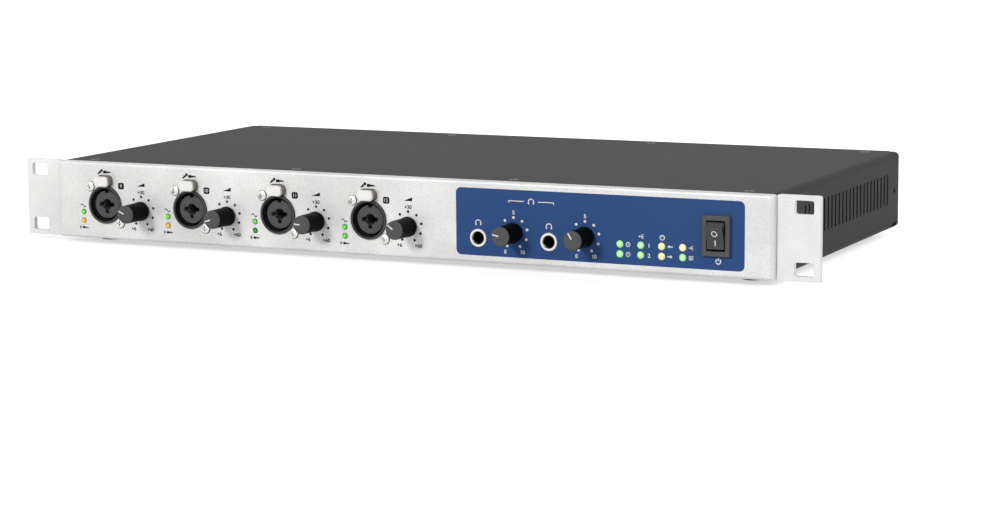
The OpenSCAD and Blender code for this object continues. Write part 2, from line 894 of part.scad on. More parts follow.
module knob(x, angle) {
    r = knob_d / 2;
    on_front(x, knob_z) rotate([0, 0, -angle]) {
        color([0.12, 0.12, 0.13]) difference() {
            rotate_extrude() polygon([[0, knob_gap], [r, knob_gap], [r, knob_gap + 1.4],
                [r - 0.25, knob_gap + 1.8], [r - 0.35, knob_out - 0.6],
                [r - 0.55, knob_out - 0.2], [r - 0.95, knob_out], [0, knob_out]]);
            rod(shaft_d + 2 * run, 0, knob_out - 4);
            translate([-0.4, 0.9, knob_out - 0.3]) cube([0.8, r, 1]);
        }
        color("silver") rod(shaft_d, -panel_t - pot_d + 2, knob_out - 4.3);
    }
}

module gain_knob_1() {
    knob(gain_xs[0], gain_angles[0]);
}

module gain_knob_2() {
    knob(gain_xs[1], gain_angles[1]);
}

module gain_knob_3() {
    knob(gain_xs[2], gain_angles[2]);
}

module gain_knob_4() {
    knob(gain_xs[3], gain_angles[3]);
}

module volume_knob_1() {
    knob(volume_xs[0], volume_angles[0]);
}

module volume_knob_2() {
    knob(volume_xs[1], volume_angles[1]);
}

module pot(x) {
    color([0.3, 0.45, 0.35]) on_front(x, knob_z) difference() {
        union() {
            rod(neck_d, -panel_t - 0.01, -gap);
            slab(pot_w, pot_w, -panel_t - pot_d, -panel_t);
        }
        rod(shaft_d + 2 * run, -panel_t - pot_d + 1.5, over);
    }
}

module gain_pots() {
    for (x = gain_xs) pot(x);
}

module volume_pots() {
    for (x = volume_xs) pot(x);
}

// ---------- Lamps and power switch ----------

module lamp(d) {
    r = d / 2;
    rotate_extrude() {
        translate([0, -front_board_y]) square([r, front_board_y]);
        intersection() {
            translate([0, led_out - r * r / led_out / 2 - led_out / 2])
                circle(r * r / led_out / 2 + led_out / 2);
            square([r, led_out + over]);
        }
    }
}

module channel_leds() {
    color("limegreen") for (x = socket_xs, z = channel_led_z)
        on_front(x + channel_led_dx, z) lamp(channel_led_d);
}

module state_leds() {
    color("palegreen") for (k = [0:3], z = state_led_z)
        on_front(state_led_x0 + k * state_led_pitch, z) lamp(state_led_d);
}

// Upright shape with bulging sides
module barrel(w, h, bulge) {
    intersection() {
        square([w, h], center = true);
        for (side = [-1, 1]) translate([side * (w / 2 - bulge), 0]) circle(bulge);
    }
}

module power_switch_housing() {
    hole_w = rocker_w + 2 * rocker_side;
    deep = pivot_depth + rocker_v;
    color([0.1, 0.1, 0.1]) on_front(switch_x, switch_z) difference() {
        union() {
            slab(bezel_w, bezel_h, 0, bezel_out);
            slab(bezel_w - 2 * bezel_rim, bezel_h - 2 * bezel_rim, -panel_t - switch_d, 0.01);
        }
        translate([0, 0, -deep]) linear_extrude(deep + bezel_out + over)
            barrel(hole_w, 2 * (rocker_v + gap), rocker_bulge + 10);
        translate([0, 0, -pivot_depth]) rotate([0, 90, 0])
            cylinder(d = axle_d + 2 * run, h = hole_w + axle_end, center = true);
    }
}

module power_rocker() {
    reach = crest_y * crest_y / rocker_hollow / 2 + rocker_hollow / 2;
    color([0.15, 0.15, 0.15]) on_front(switch_x, switch_z, -pivot_depth)
        rotate([rocker_tilt, 0, 0]) {
            intersection() {
                rotate([90, 0, 90]) translate([0, 0, -rocker_w / 2])
                    linear_extrude(rocker_w) difference() {
                        polygon([[-crest_y, crest_out], [crest_y, crest_out], [rocker_v, 0.4],
                            [6.5, -1.5], [2.5, -6], [-2.5, -6], [-6.5, -1.5], [-rocker_v, 0.4]]);
                        translate([0, crest_out - rocker_hollow + reach]) circle(reach);
                    }
                translate([0, 0, -rocker_v]) linear_extrude(2 * rocker_v)
                    barrel(rocker_w, 2 * rocker_v, rocker_bulge);
            }
            rotate([0, 90, 0]) cylinder(d = axle_d, h = rocker_w + axle_end, center = true);
        }
}

// ---------- Mains inlet and cord loop ----------

module inlet_outline(w, h, corner) {
    polygon([[-w / 2, -h / 2], [w / 2, -h / 2], [w / 2, h / 2 - corner],
        [w / 2 - corner, h / 2], [corner - w / 2, h / 2], [-w / 2, h / 2 - corner]]);
}

module mains_inlet() {
    color([0.2, 0.2, 0.2]) on_rear(inlet_x, inlet_z) difference() {
        union() {
            slab(inlet_w, inlet_h, 0, 1.2);
            slab(inlet_w - 2 * inlet_rim, inlet_h - 2 * inlet_rim, -mouth_d - 3, 0.01);
        }
        translate([0, 0, -mouth_d]) linear_extrude(mouth_d + 2)
            inlet_outline(mouth_w, mouth_h, 5);
        for (p = [[-7, -2], [0, 2], [7, -2]]) translate(p)
            slab(2 + 2 * fit, 4 + 2 * fit, -mouth_d - 4, 0);
    }
}

module mains_pins() {
    color("silver") on_rear(inlet_x, inlet_z) for (p = [[-7, -2], [0, 2], [7, -2]])
        translate(p) slab(2, 4, -mouth_d - 6, -pin_recess);
}

module cord_loop() {
    bend = loop_w / 2;
    straight = loop_out - bend - wire_d / 2;
    color("silver") on_rear(loop_x, loop_z) {
        for (side = [-1, 1]) translate([side * bend, 0, 0]) {
            rod(wire_d, -sheet - 2, straight + 0.01);
            rod(wire_d + 3, -sheet - 2, -sheet);
        }
        translate([0, 0, straight]) rotate([90, 0, 0])
            rotate_extrude(angle = 180) translate([bend, 0]) circle(d = wire_d);
    }
}

// ---------- Control sockets ----------

// Width of the dark frame around the mode button
function frame_of_button() = button_w + 1.4;

module midi_sockets() {
    low = midi_z - board_top;
    color([0.15, 0.15, 0.15]) for (x = midi_x) on_rear(x, midi_z) difference() {
        union() {
            translate([-midi_d / 2 - midi_wall, -low, -sheet - 14])
                cube([midi_d + 2 * midi_wall, low + midi_d / 2 + midi_wall, 14]);
            rod(midi_d, -sheet - 0.01, 0.5);
        }
        difference() {
            rod(midi_d - 2 * midi_wall, -8, over);
            rod(midi_core, -9, -0.4);
        }
        for (a = [180:45:360]) rotate([0, 0, a]) translate([5, 0, 0]) rod(1.8, -9, over);
        translate([0, midi_d / 2 - 2, 0]) slab(2.4, 2, -8, over);
    }
}

module mode_button() {
    color("royalblue") on_rear(button_x, button_z) slab(button_w, button_w, -7, button_out);
}

module mode_switch() {
    low = button_z - board_top;
    color([0.1, 0.1, 0.1]) on_rear(button_x, button_z) difference() {
        union() {
            slab(frame_of_button(), frame_of_button(), -sheet - 0.01, 0.2);
            translate([-3.5, -low, -sheet - 9]) cube([7, low + 3.5, 9]);
        }
        slab(button_w + gap, button_w + gap, -7 - button_travel - gap, over);
    }
}

module usb_b_socket() {
    low = square_z - board_top;
    color("white") on_rear(square_x, square_z) {
        difference() {
            union() {
                slab(square_w, square_h, -16, 0.5);
                translate([-square_w / 2, -low, -16]) cube([square_w, low, 16 - sheet]);
            }
            translate([0, 0, -12]) linear_extrude(14) inlet_outline(8.6, 8, 1.6);
        }
        slab(5.6, 3.2, -12.01, -1.5);
    }
}

module usb_a_socket() {
    low = tall_z - board_top;
    color("silver") on_rear(tall_x, tall_z) {
        difference() {
            union() {
                slab(tall_w, tall_h, -15, 0.5);
                translate([-tall_w / 2, -low, -15]) cube([tall_w, low, 15 - sheet]);
            }
            slab(5.1, 12.6, -12, over);
        }
        translate([-1.2, 0, 0]) slab(1.8, 11.4, -12.01, -1);
    }
}

// ---------- Optical sockets ----------

module optical_housings() {
    color([0.12, 0.12, 0.12]) for (x = optical_xs) on_rear(x, optical_z) difference() {
        slab(optical_w, optical_w, -optical_d, 0.3);
        translate([0, 0, 2 - optical_d]) linear_extrude(optical_d)
            rotate([0, 0, 180]) inlet_outline(optical_mouth, optical_mouth, 1.8);
        translate([0, optical_mouth / 2 - 0.7, -flap_depth]) rotate([0, 90, 0])
            cylinder(d = flap_pin + 2 * run, h = optical_mouth + 1.3, center = true);
    }
}

module optical_flap(k) {
    w = optical_mouth - 2 * gap;
    color([0.35, 0.35, 0.36]) on_rear(optical_xs[k], optical_z, -flap_depth) {
        intersection() {
            translate([0, 0, -flap_t / 2]) linear_extrude(flap_t)
                rotate([0, 0, 180]) inlet_outline(w, w, 1.7);
            translate([0, -0.7, 0]) slab(w, optical_mouth, -flap_t, flap_t);
        }
        translate([0, optical_mouth / 2 - 0.7, 0]) rotate([0, 90, 0])
            cylinder(d = flap_pin, h = optical_mouth + 1, center = true);
    }
}

module optical_flap_1() {
    optical_flap(0);
}

module optical_flap_2() {
    optical_flap(1);
}

module optical_flap_3() {
    optical_flap(2);
}

module optical_flap_4() {
    optical_flap(3);
}

// ---------- Coaxial sockets ----------

module coax_sockets() {
    r = coax_d / 2;
    color("silver") for (x = coax_x) on_rear(x, coax_z) {
        difference() {
            union() {
                rod(coax_d, -sheet - 10, coax_out);
                rod(coax_nut + 1, 0, 0.8);
                translate([0, 0, 0.79]) rotate([0, 0, 30])
                    cylinder(d = coax_nut / cos(30), h = 3, $fn = 6);
                rod(coax_nut, -sheet - 1.5, -sheet);
                rotate([0, 90, 0]) translate([-coax_out * 0.68, 0, 0])
                    cylinder(d = 2, h = coax_d + 2, center = true);
            }
            rod(8.1, coax_out - 10, coax_out + over);
            rod(4, -sheet - 11, coax_out);
            for (z = [6, 7.6, 9.2]) translate([0, 0, z]) difference() {
                rod(coax_d + 1, 0, 0.6);
                rod(coax_d - 0.8, -over, over);
            }
        }
    }
}

module coax_inserts() {
    color("white") for (x = coax_x) on_rear(x, coax_z) difference() {
        union() {
            rod(7.6, coax_out - 10, coax_out - 8);
            rod(3.4, -sheet - 9, coax_out - 1.5);
        }
        rod(1.4, coax_out - 7, coax_out);
    }
}

// ---------- Digital sockets ----------

module digital_out_shell() {
    color([0.12, 0.12, 0.12]) on_rear(plug_x, digital_z) difference() {
        union() {
            translate([-digital_w / 2, -digital_low, -sheet - 20])
                cube([digital_w, digital_low + housing_h / 2 - housing_up, 20]);
            rod(nose_d, -sheet - 0.01, nose_out);
        }
        rod(cavity_d, -15, nose_out + over);
        for (p = contact_places(4.5)) translate(p) rod(pin_d + 2 * fit, -sheet - 21, 0);
        for (p = screw_xz) translate(p) {
            rod(hole_d, -sheet - 9, 0);
            rod(screw_head + 2 * gap, 0, nose_out + over);
        }
    }
}

module digital_out_pins() {
    color("gold") on_rear(plug_x, digital_z) for (p = contact_places(4.5))
        translate(p) {
            rod(pin_d, -sheet - 22, -2.5);
            translate([0, 0, -2.51]) cylinder(d1 = pin_d, d2 = pin_d - 1, h = 0.7);
        }
}

module digital_in_socket() {
    color([0.12, 0.12, 0.12]) on_rear(input_x, digital_z) {
        socket_housing(sheet, digital_w, digital_low, 24, 4);
        difference() {
            rod(input_insert_d, -socket_depth, -1);
            for (p = contact_places(4.2)) translate(p) rod(2.8, -15, 0);
            translate([0, input_insert_d / 2 - 0.3, 0]) slab(2.4, 2, -7, over);
        }
    }
}

module digital_in_latch() {
    color("silver") on_rear(input_x, digital_z) latch(sheet);
}

// ---------- Inside ----------

module main_board() {
    color([0.05, 0.3, 0.15]) place() difference() {
        translate([foot_flange - web_x + 2, main_y, board_z])
            cube([main_x + web_x - foot_flange - 2, inner_y - gap - main_y, board_t]);
        for (p = main_posts) translate(p) rod(hole_d + 0.4, 0, body_h);
    }
}

module power_board() {
    color([0.05, 0.3, 0.15]) place() difference() {
        translate([power_x, power_y, board_z])
            cube([web_x - foot_flange - 2 - power_x, power_end - power_y, board_t]);
        for (p = power_posts) translate(p) rod(hole_d + 0.4, 0, body_h);
    }
}

module transformer() {
    coil = core_w - 10;
    color([0.75, 0.6, 0.2]) place() translate([power_x + 5, power_y + 55, board_top]) {
        cube([core_w, core_d, core_h]);
        translate([5, -6, 3]) cube([coil, core_d + 12, core_h - 6]);
    }
}

module capacitors() {
    color([0.15, 0.15, 0.3]) place() for (k = [0, 1])
        translate([power_x + 12 + k * (capacitor_d + 2), power_y + 30, board_top])
            cylinder(d = capacitor_d, h = capacitor_h);
}

module front_board() {
    left = -socket_x0 + 20;
    right = state_led_x0 + 3 * state_led_pitch + 6;
    color([0.05, 0.3, 0.15]) difference() {
        place() translate([-left, front_board_y, 3.5]) cube([left + right, board_t, body_h - 8.5]);
        for (x = socket_xs) on_front(x, socket_z + housing_up)
            slab(housing_w + 2 * gap, housing_h + 2 * gap, -front_board_y - 4, 0);
        for (x = phones_xs) on_front(x, phones_z)
            slab(phones_w + 2 * gap, phones_w + 2 * gap, -front_board_y - 4, 0);
    }
}

module ribbon_cable() {
    start = front_board_y + board_t;
    drop = main_y + 12;
    color("lightgray") place() translate([gain_xs[3] + 14, 0, 0]) {
        translate([0, start, 20]) cube([cable_w, drop - start, 1]);
        translate([0, drop - 1, board_top]) cube([cable_w, 1, 21 - board_top]);
    }
}

module standoffs_and_screws() {
    color("goldenrod") place() for (p = concat(main_posts, power_posts)) translate(p) {
        difference() {
            translate([0, 0, sheet]) cylinder(d = 6, h = standoff_h);
            rod(hole_d, sheet + 0.5, body_h);
        }
        translate([0, 0, board_top])
            pan_screw(5.6, 1.8, screw_d, board_t + standoff_h - 1);
    }
}

front_panel();
top_cover();
bottom_tray();
left_side_panel();
right_side_panel();
rear_panel();
left_rack_ear();
right_rack_ear();
rubber_feet();
cover_screws();
ear_screws();
front_connector_screws();
rear_connector_screws();
mic_socket_housings();
mic_socket_inserts();
mic_socket_contacts();
socket_latch_1();
socket_latch_2();
socket_latch_3();
socket_latch_4();
jack_rings();
jack_bodies();
gain_knob_1();
gain_knob_2();
gain_knob_3();
gain_knob_4();
volume_knob_1();
volume_knob_2();
gain_pots();
volume_pots();
channel_leds();
state_leds();
power_switch_housing();
power_rocker();
mains_inlet();
mains_pins();
cord_loop();
midi_sockets();
mode_button();
mode_switch();
usb_b_socket();
usb_a_socket();
optical_housings();
optical_flap_1();
optical_flap_2();
optical_flap_3();
optical_flap_4();
coax_sockets();
coax_inserts();
digital_out_shell();
digital_out_pins();
digital_in_socket();
digital_in_latch();
main_board();
power_board();
transformer();
capacitors();
front_board();
ribbon_cable();
standoffs_and_screws();
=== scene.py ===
"""Finishes, printed marks, small fittings and studio for a one-unit rack audio interface."""

import json
import math

import bmesh
import bpy
from bpy.props import FloatProperty, FloatVectorProperty, PointerProperty
from mathutils import Matrix, Vector
from mathutils.bvhtree import BVHTree

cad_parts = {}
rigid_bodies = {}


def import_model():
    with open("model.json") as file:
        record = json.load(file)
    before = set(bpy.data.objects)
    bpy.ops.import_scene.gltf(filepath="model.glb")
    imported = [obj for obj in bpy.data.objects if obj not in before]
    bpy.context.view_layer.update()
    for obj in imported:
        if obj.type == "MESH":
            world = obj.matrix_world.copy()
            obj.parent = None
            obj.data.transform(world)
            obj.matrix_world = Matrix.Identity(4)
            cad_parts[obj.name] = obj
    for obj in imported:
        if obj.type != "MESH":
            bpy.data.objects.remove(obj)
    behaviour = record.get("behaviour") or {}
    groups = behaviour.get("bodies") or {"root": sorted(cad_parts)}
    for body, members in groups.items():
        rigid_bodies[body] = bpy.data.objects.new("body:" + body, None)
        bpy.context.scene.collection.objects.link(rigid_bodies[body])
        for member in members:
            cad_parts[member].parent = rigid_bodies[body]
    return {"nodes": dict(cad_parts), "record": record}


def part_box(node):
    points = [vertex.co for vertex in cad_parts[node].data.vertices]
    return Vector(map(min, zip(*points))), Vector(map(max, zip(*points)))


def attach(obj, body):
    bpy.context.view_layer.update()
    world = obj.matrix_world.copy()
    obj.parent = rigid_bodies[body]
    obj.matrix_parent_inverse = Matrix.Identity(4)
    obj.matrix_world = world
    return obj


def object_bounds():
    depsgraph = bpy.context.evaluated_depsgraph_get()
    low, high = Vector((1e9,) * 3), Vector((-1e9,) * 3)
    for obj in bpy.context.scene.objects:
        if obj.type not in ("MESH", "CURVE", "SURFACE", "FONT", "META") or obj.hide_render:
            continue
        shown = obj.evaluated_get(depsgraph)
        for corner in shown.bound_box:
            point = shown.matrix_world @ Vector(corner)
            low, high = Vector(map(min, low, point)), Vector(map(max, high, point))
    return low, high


bl_info = {
    "name": "Rack audio interface",
    "version": (1, 0, 0),
    "blender": (4, 5, 0),
    "location": "View3D > Sidebar > Audio interface",
    "description": "Dresses the audio interface and sets up its studio",
    "category": "Object",
}

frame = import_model()
CAD_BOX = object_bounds()

MM = 0.001


# ---------- Places on the case ----------


def low_high(node):
    """Lowest and highest corner of a node of the model, in metres."""
    low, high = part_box(node)
    return Vector(low), Vector(high)


def centre(node):
    low, high = low_high(node)
    return (low + high) / 2


def face_of_case(rear):
    """Millimetres on the front or the rear panel, as seen from outside, to metres in the model.

    The first axis runs to the viewer's right, the second up from the panel's lower edge and
    the third out of the panel.
    """
    panel_low, panel_high = low_high("front_panel")
    if rear:
        depth = low_high("rear_panel")[1].y
        turn = Matrix.Rotation(math.pi, 4, "Z") @ Matrix.Rotation(math.pi / 2, 4, "X")
    else:
        depth = panel_low.y
        turn = Matrix.Rotation(math.pi / 2, 4, "X")
    return Matrix.Translation((0, depth, panel_low.z)) @ turn @ Matrix.Scale(MM, 4)


FRONT = face_of_case(rear=False)
REAR = face_of_case(rear=True)


def on_face(face, point):
    """A point of the model, in metres, as millimetres on that face."""
    return face.inverted() @ Vector(point)


def face_box(face, node):
    """Lowest and highest corner of a node, in millimetres on a face."""
    corners = [on_face(face, corner) for corner in low_high(node)]
    return tuple(Vector([pick(pair) for pair in zip(*corners)]) for pick in (min, max))


def middle_on(face, node):
    return on_face(face, centre(node))


def mounts_like(name, face):
    """Where the sockets whose mounts start with this name stand on a face, in order."""
    found = [m for m in frame["record"]["mounts"] if m["name"].startswith(name)]
    return [on_face(face, m["pos_m"]) for m in found]


# ---------- Shader tools ----------


def grey(level):
    return level, level, level


def srgb(red, green, blue):
    """A colour of 0 to 255 as the linear values that shaders use."""
    parts = [c / 255 for c in (red, green, blue)]
    return tuple(c / 12.92 if c <= 0.04045 else ((c + 0.055) / 1.055) ** 2.4 for c in parts)


def add(tree, kind, values=None, **settings):
    """Adds a shader node, with plain values or links from other nodes' outputs."""
    made = tree.nodes.new("ShaderNode" + kind)
    for key, value in settings.items():
        setattr(made, key, value)
    for key, value in (values or {}).items():
        if isinstance(value, bpy.types.NodeSocket):
            tree.links.new(value, made.inputs[key])
        elif made.inputs[key].type == "RGBA":
            made.inputs[key].default_value = (*value, 1)
        else:
            made.inputs[key].default_value = value
    return made


def math_node(tree, operation, first, second=0.0):
    return add(tree, "Math", {0: first, 1: second}, operation=operation).outputs[0]


def mix_color(tree, share, first, second):
    return add(tree, "Mix", {0: share, 6: first, 7: second}, data_type="RGBA").outputs[2]


def new_group(name, takes, gives):
    """An empty shader group with its named inputs and outputs."""
    tree = bpy.data.node_groups.new(name, "ShaderNodeTree")
    for label, kind, value in takes:
        socket = tree.interface.new_socket(label, in_out="INPUT", socket_type="NodeSocket" + kind)
        socket.default_value = (*value, 1) if kind == "Color" else value
    for label, kind in gives:
        tree.interface.new_socket(label, in_out="OUTPUT", socket_type="NodeSocket" + kind)
    return tree, tree.nodes.new("NodeGroupInput").outputs, tree.nodes.new("NodeGroupOutput").inputs


def build_surface_grain():
    """Fine grain with broad, faint patches, for colour, roughness and height."""
    tree, takes, gives = new_group(
        "Surface grain",
        [("Color", "Color", grey(0.5)), ("Vary", "Float", 0.05), ("Size", "Float", 0.0003),
         ("Roughness", "Float", 0.5), ("Rough Vary", "Float", 0.1)],
        [("Color", "Color"), ("Roughness", "Float"), ("Height", "Float")])
    where = add(tree, "TexCoord").outputs["Object"]
    fine_scale = math_node(tree, "DIVIDE", 1.0, takes["Size"])
    broad_scale = math_node(tree, "DIVIDE", fine_scale, 60.0)
    fine = add(tree, "TexNoise", {"Vector": where, "Scale": fine_scale, "Detail": 2.0}).outputs[0]
    broad = add(tree, "TexNoise", {"Vector": where, "Scale": broad_scale, "Detail": 3.0}).outputs[0]
    fine_part = math_node(tree, "SUBTRACT", fine, 0.5)
    broad_part = math_node(tree, "SUBTRACT", broad, 0.5)
    both = math_node(tree, "ADD", fine_part, broad_part)
    shift = math_node(tree, "MULTIPLY", both, takes["Vary"])
    value = math_node(tree, "ADD", shift, 1.0)
    tone = add(tree, "HueSaturation", {"Value": value, "Color": takes["Color"]}).outputs[0]
    rough_shift = math_node(tree, "MULTIPLY", broad_part, takes["Rough Vary"])
    rough = math_node(tree, "ADD", takes["Roughness"], rough_shift)
    tree.links.new(tone, gives["Color"])
    tree.links.new(rough, gives["Roughness"])
    tree.links.new(fine, gives["Height"])
    return tree


def build_edge_wear():
    """Rounds sharp edges and shows where handling has rubbed them."""
    tree, takes, gives = new_group(
        "Edge wear",
        [("Color", "Color", grey(0.5)), ("Worn Color", "Color", grey(0.7)),
         ("Radius", "Float", 0.0003), ("Wear", "Float", 0.3)],
        [("Color", "Color"), ("Mask", "Float"), ("Normal", "Vector")])
    bevel = add(tree, "Bevel", {"Radius": takes["Radius"]}, samples=4).outputs[0]
    flat = add(tree, "NewGeometry").outputs["True Normal"]
    along = add(tree, "VectorMath", {0: bevel, 1: flat}, operation="DOT_PRODUCT").outputs["Value"]
    edge = add(tree, "MapRange", {0: along, 1: 0.999, 2: 0.85, 3: 0.0, 4: 1.0}).outputs[0]
    where = add(tree, "TexCoord").outputs["Object"]
    patches = add(tree, "TexNoise", {"Vector": where, "Scale": 900.0, "Detail": 4.0}).outputs[0]
    chips = add(tree, "MapRange", {0: patches, 1: 0.4, 2: 0.65, 3: 0.2, 4: 1.0}).outputs[0]
    mask = math_node(tree, "MULTIPLY", math_node(tree, "MULTIPLY", edge, chips), takes["Wear"])
    tree.links.new(mix_color(tree, mask, takes["Color"], takes["Worn Color"]), gives["Color"])
    tree.links.new(mask, gives["Mask"])
    tree.links.new(bevel, gives["Normal"])
    return tree


def shared_group(name):
    """One of the shared effects, built at its first use."""
    build = {"Surface grain": build_surface_grain, "Edge wear": build_edge_wear}[name]
    return bpy.data.node_groups.get(name) or build()


def place_group(tree, name, values):
    return add(tree, "Group", values, node_tree=shared_group(name)).outputs


def where_in_model(tree):
    """The three coordinates of the shaded point, in metres."""
    place = add(tree, "TexCoord").outputs["Object"]
    return add(tree, "SeparateXYZ", {0: place}).outputs


def beyond(tree, axis, limit):
    """1 where the shaded point lies past a limit in metres along an axis, else 0."""
    return math_node(tree, "GREATER_THAN", where_in_model(tree)[axis], limit)


def finish(name, color, roughness, metallic=0.0, grain=0.3, vary=0.05, bump=0.01,
           rough_vary=0.1, edge=0.25, worn=grey(0.6), wear=0.0, specular=0.5, glow=0.0):
    """A material with grain, broad patches and rounded, slightly rubbed edges.

    The colour is three linear values, or a function that paints them in the material's tree.
    Grain size, edge radius and bump height are in millimetres.
    """
    material = bpy.data.materials.new(name)
    material.use_nodes = True
    tree = material.node_tree
    shader = tree.nodes["Principled BSDF"]
    paint = color(tree) if callable(color) else color
    grained = place_group(tree, "Surface grain", {
        "Color": paint, "Vary": vary, "Size": grain * MM, "Roughness": roughness,
        "Rough Vary": rough_vary})
    rubbed = place_group(tree, "Edge wear", {
        "Color": grained["Color"], "Worn Color": worn, "Radius": edge * MM, "Wear": wear})
    relief = add(tree, "Bump", {"Strength": 1.0, "Distance": bump * MM,
                                "Height": grained["Height"], "Normal": rubbed["Normal"]})
    tree.links.new(rubbed["Color"], shader.inputs["Base Color"])
    tree.links.new(grained["Roughness"], shader.inputs["Roughness"])
    tree.links.new(relief.outputs[0], shader.inputs["Normal"])
    shader.inputs["Metallic"].default_value = metallic
    shader.inputs["Specular IOR Level"].default_value = specular
    if glow:
        if callable(color):
            tree.links.new(paint, shader.inputs["Emission Color"])
        else:
            shader.inputs["Emission Color"].default_value = (*color, 1)
        shader.inputs["Emission Strength"].default_value = glow
    return material


# ---------- Colours that change over a piece, some of them painted light and shade ---

# How deep or how long the pieces' zones are: the side panels' skin, rear post and bare margin round
# the vents' painted shade, the inlet's frame round its painted shade, the knobs' cap, half the
# tape, the capacitors' top and one wire.
SKIN, POST, SLOT_MARGIN = 0.35 * MM, 10 * MM, 6 * MM
INLET_FRAME, KNOB_CAP, TAPE_HALF = 1.2 * MM, 0.7 * MM, 13 * MM
SLEEVE_TOP, WIRE_PITCH = 0.3 * MM, 1.27 * MM


def painted_light_by_facing(tree, start, full, aside, ahead):
    """Painted light and shade: one colour where a surface looks aside, another where it looks out
    of the front.
    """
    out = add(tree, "NewGeometry").outputs["Normal"]
    facing = add(tree, "VectorMath", {0: out, 1: (0, -1, 0)}, operation="DOT_PRODUCT")
    share = add(tree, "MapRange", {0: facing.outputs["Value"], 1: start, 2: full, 3: 0.0,
                                   4: 1.0})
    return mix_color(tree, share.outputs[0], aside, ahead)


def vent_painted_shade(tree):
    """Case colour outside, with painted shade in near black in the vent slots and on the skin's
    inner face.
    """
    low, high = low_high("right_side_panel")
    at = where_in_model(tree)
    middle, half = (low.z + high.z) / 2, (high.z - low.z) / 2 - SLOT_MARGIN
    inside = math_node(tree, "LESS_THAN", math_node(tree, "ABSOLUTE", at["X"]), high.x - SKIN)
    away = math_node(tree, "ABSOLUTE", math_node(tree, "SUBTRACT", at["Z"], middle))
    painted_shade_zone = math_node(tree, "MULTIPLY", inside, math_node(tree, "LESS_THAN", away, half))
    before_post = math_node(tree, "LESS_THAN", at["Y"], high.y - POST)
    painted_shade_zone = math_node(tree, "MULTIPLY", painted_shade_zone, before_post)
    # Near black is painted shade for the dark inside of the case.
    return mix_color(tree, painted_shade_zone, tuple(looks().case_color), grey(0.001))


def screw_painted_shade(tree):
    """Bright where a head faces forwards, with painted shade down its rim and in its cross."""
    return painted_light_by_facing(tree, 0.35, 0.8, grey(0.03), (0.8, 0.79, 0.76))


def latch_painted_shade(tree):
    """Bright face, with a painted brown shadow down the side of the tab."""
    return painted_light_by_facing(tree, 0.2, 0.9, (0.2, 0.18, 0.15), (0.93, 0.92, 0.89))


def inlet_painted_shade(tree):
    """Grey frame round a well painted black as shade."""
    on_frame = beyond(tree, "Y", low_high("mains_inlet")[1].y - INLET_FRAME)
    return mix_color(tree, on_frame, (0.006, 0.006, 0.0065), (0.035, 0.035, 0.036))


def knob_shade(tree):
    """Dark grey cap on the knob's face, near black down its side."""
    on_side = beyond(tree, "Y", low_high("gain_knob_1")[0].y + KNOB_CAP)
    return mix_color(tree, on_side, (0.11, 0.11, 0.112), grey(0.002))


def painted_lens_light(tree, dark, bright):
    """Painted light on a lens: brighter where it faces straight out of the front, darker towards
    its rim.
    """
    return painted_light_by_facing(tree, 0.72, 0.98, dark, bright)


def channel_lamp_shade(tree):
    """Green signal lamps over two amber, one unlit and one green lamp."""
    low, high = low_high("channel_leds")
    at = where_in_model(tree)
    lower_row = math_node(tree, "LESS_THAN", at["Z"], (low.z + high.z) / 2)
    pitch = (high.x - low.x) / 3
    first_two = math_node(tree, "LESS_THAN", at["X"], low.x + 1.5 * pitch)
    third = math_node(tree, "LESS_THAN", at["X"], low.x + 2.5 * pitch)
    # Each lamp's bright middle and darker rim are painted light.
    green = painted_lens_light(tree, srgb(16, 100, 6), srgb(92, 226, 30))
    unlit = painted_lens_light(tree, srgb(6, 60, 4), srgb(34, 138, 14))
    amber = painted_lens_light(tree, srgb(150, 92, 2), srgb(246, 178, 24))
    lower = mix_color(tree, first_two, mix_color(tree, third, green, unlit), amber)
    return mix_color(tree, lower_row, green, lower)


def state_lamp_shade(tree):
    """Pale green lamps, with the third pair and the last upper one pale yellow."""
    low, high = low_high("state_leds")
    at = where_in_model(tree)
    upper_row = math_node(tree, "GREATER_THAN", at["Z"], (low.z + high.z) / 2)
    pitch = (high.x - low.x) / 4
    right_half = math_node(tree, "GREATER_THAN", at["X"], low.x + 2 * pitch)
    not_last = math_node(tree, "LESS_THAN", at["X"], low.x + 3 * pitch)
    yellow_share = math_node(tree, "MULTIPLY", right_half,
                             math_node(tree, "MAXIMUM", upper_row, not_last))
    # Each lamp's bright middle and darker rim are painted light.
    green = painted_lens_light(tree, srgb(140, 205, 130), srgb(196, 250, 170))
    yellow = painted_lens_light(tree, srgb(215, 205, 130), srgb(255, 250, 180))
    return mix_color(tree, yellow_share, green, yellow)


def board_pattern(tree):
    """Solder mask over copper tracks, with bright pads."""
    where = add(tree, "TexCoord").outputs["Object"]
    lanes = add(tree, "TexBrick", {"Vector": where, "Scale": 90.0, "Mortar Size": 0.035,
                                   "Brick Width": 1.7, "Row Height": 0.21})
    pads = add(tree, "TexVoronoi", {"Vector": where, "Scale": 260.0, "Randomness": 0.7},
               distance="CHEBYCHEV")
    on_pad = math_node(tree, "LESS_THAN", pads.outputs["Distance"], 0.16)
    tracks = mix_color(tree, lanes.outputs["Fac"], (0.006, 0.05, 0.022), (0.012, 0.1, 0.04))
    return mix_color(tree, on_pad, tracks, (0.55, 0.5, 0.38))


def tape_bands(tree):
    """Yellow tape over dark coil ends."""
    low, high = low_high("transformer")
    ends = math_node(tree, "SUBTRACT", where_in_model(tree)["Y"], (low.y + high.y) / 2)
    outside = math_node(tree, "GREATER_THAN", math_node(tree, "ABSOLUTE", ends), TAPE_HALF)
    return mix_color(tree, outside, (0.62, 0.44, 0.05), grey(0.03))


def sleeve_bands(tree):
    """Dark sleeve with a bare top."""
    bare = beyond(tree, "Z", low_high("capacitors")[1].z - SLEEVE_TOP)
    return mix_color(tree, bare, (0.012, 0.016, 0.05), grey(0.6))


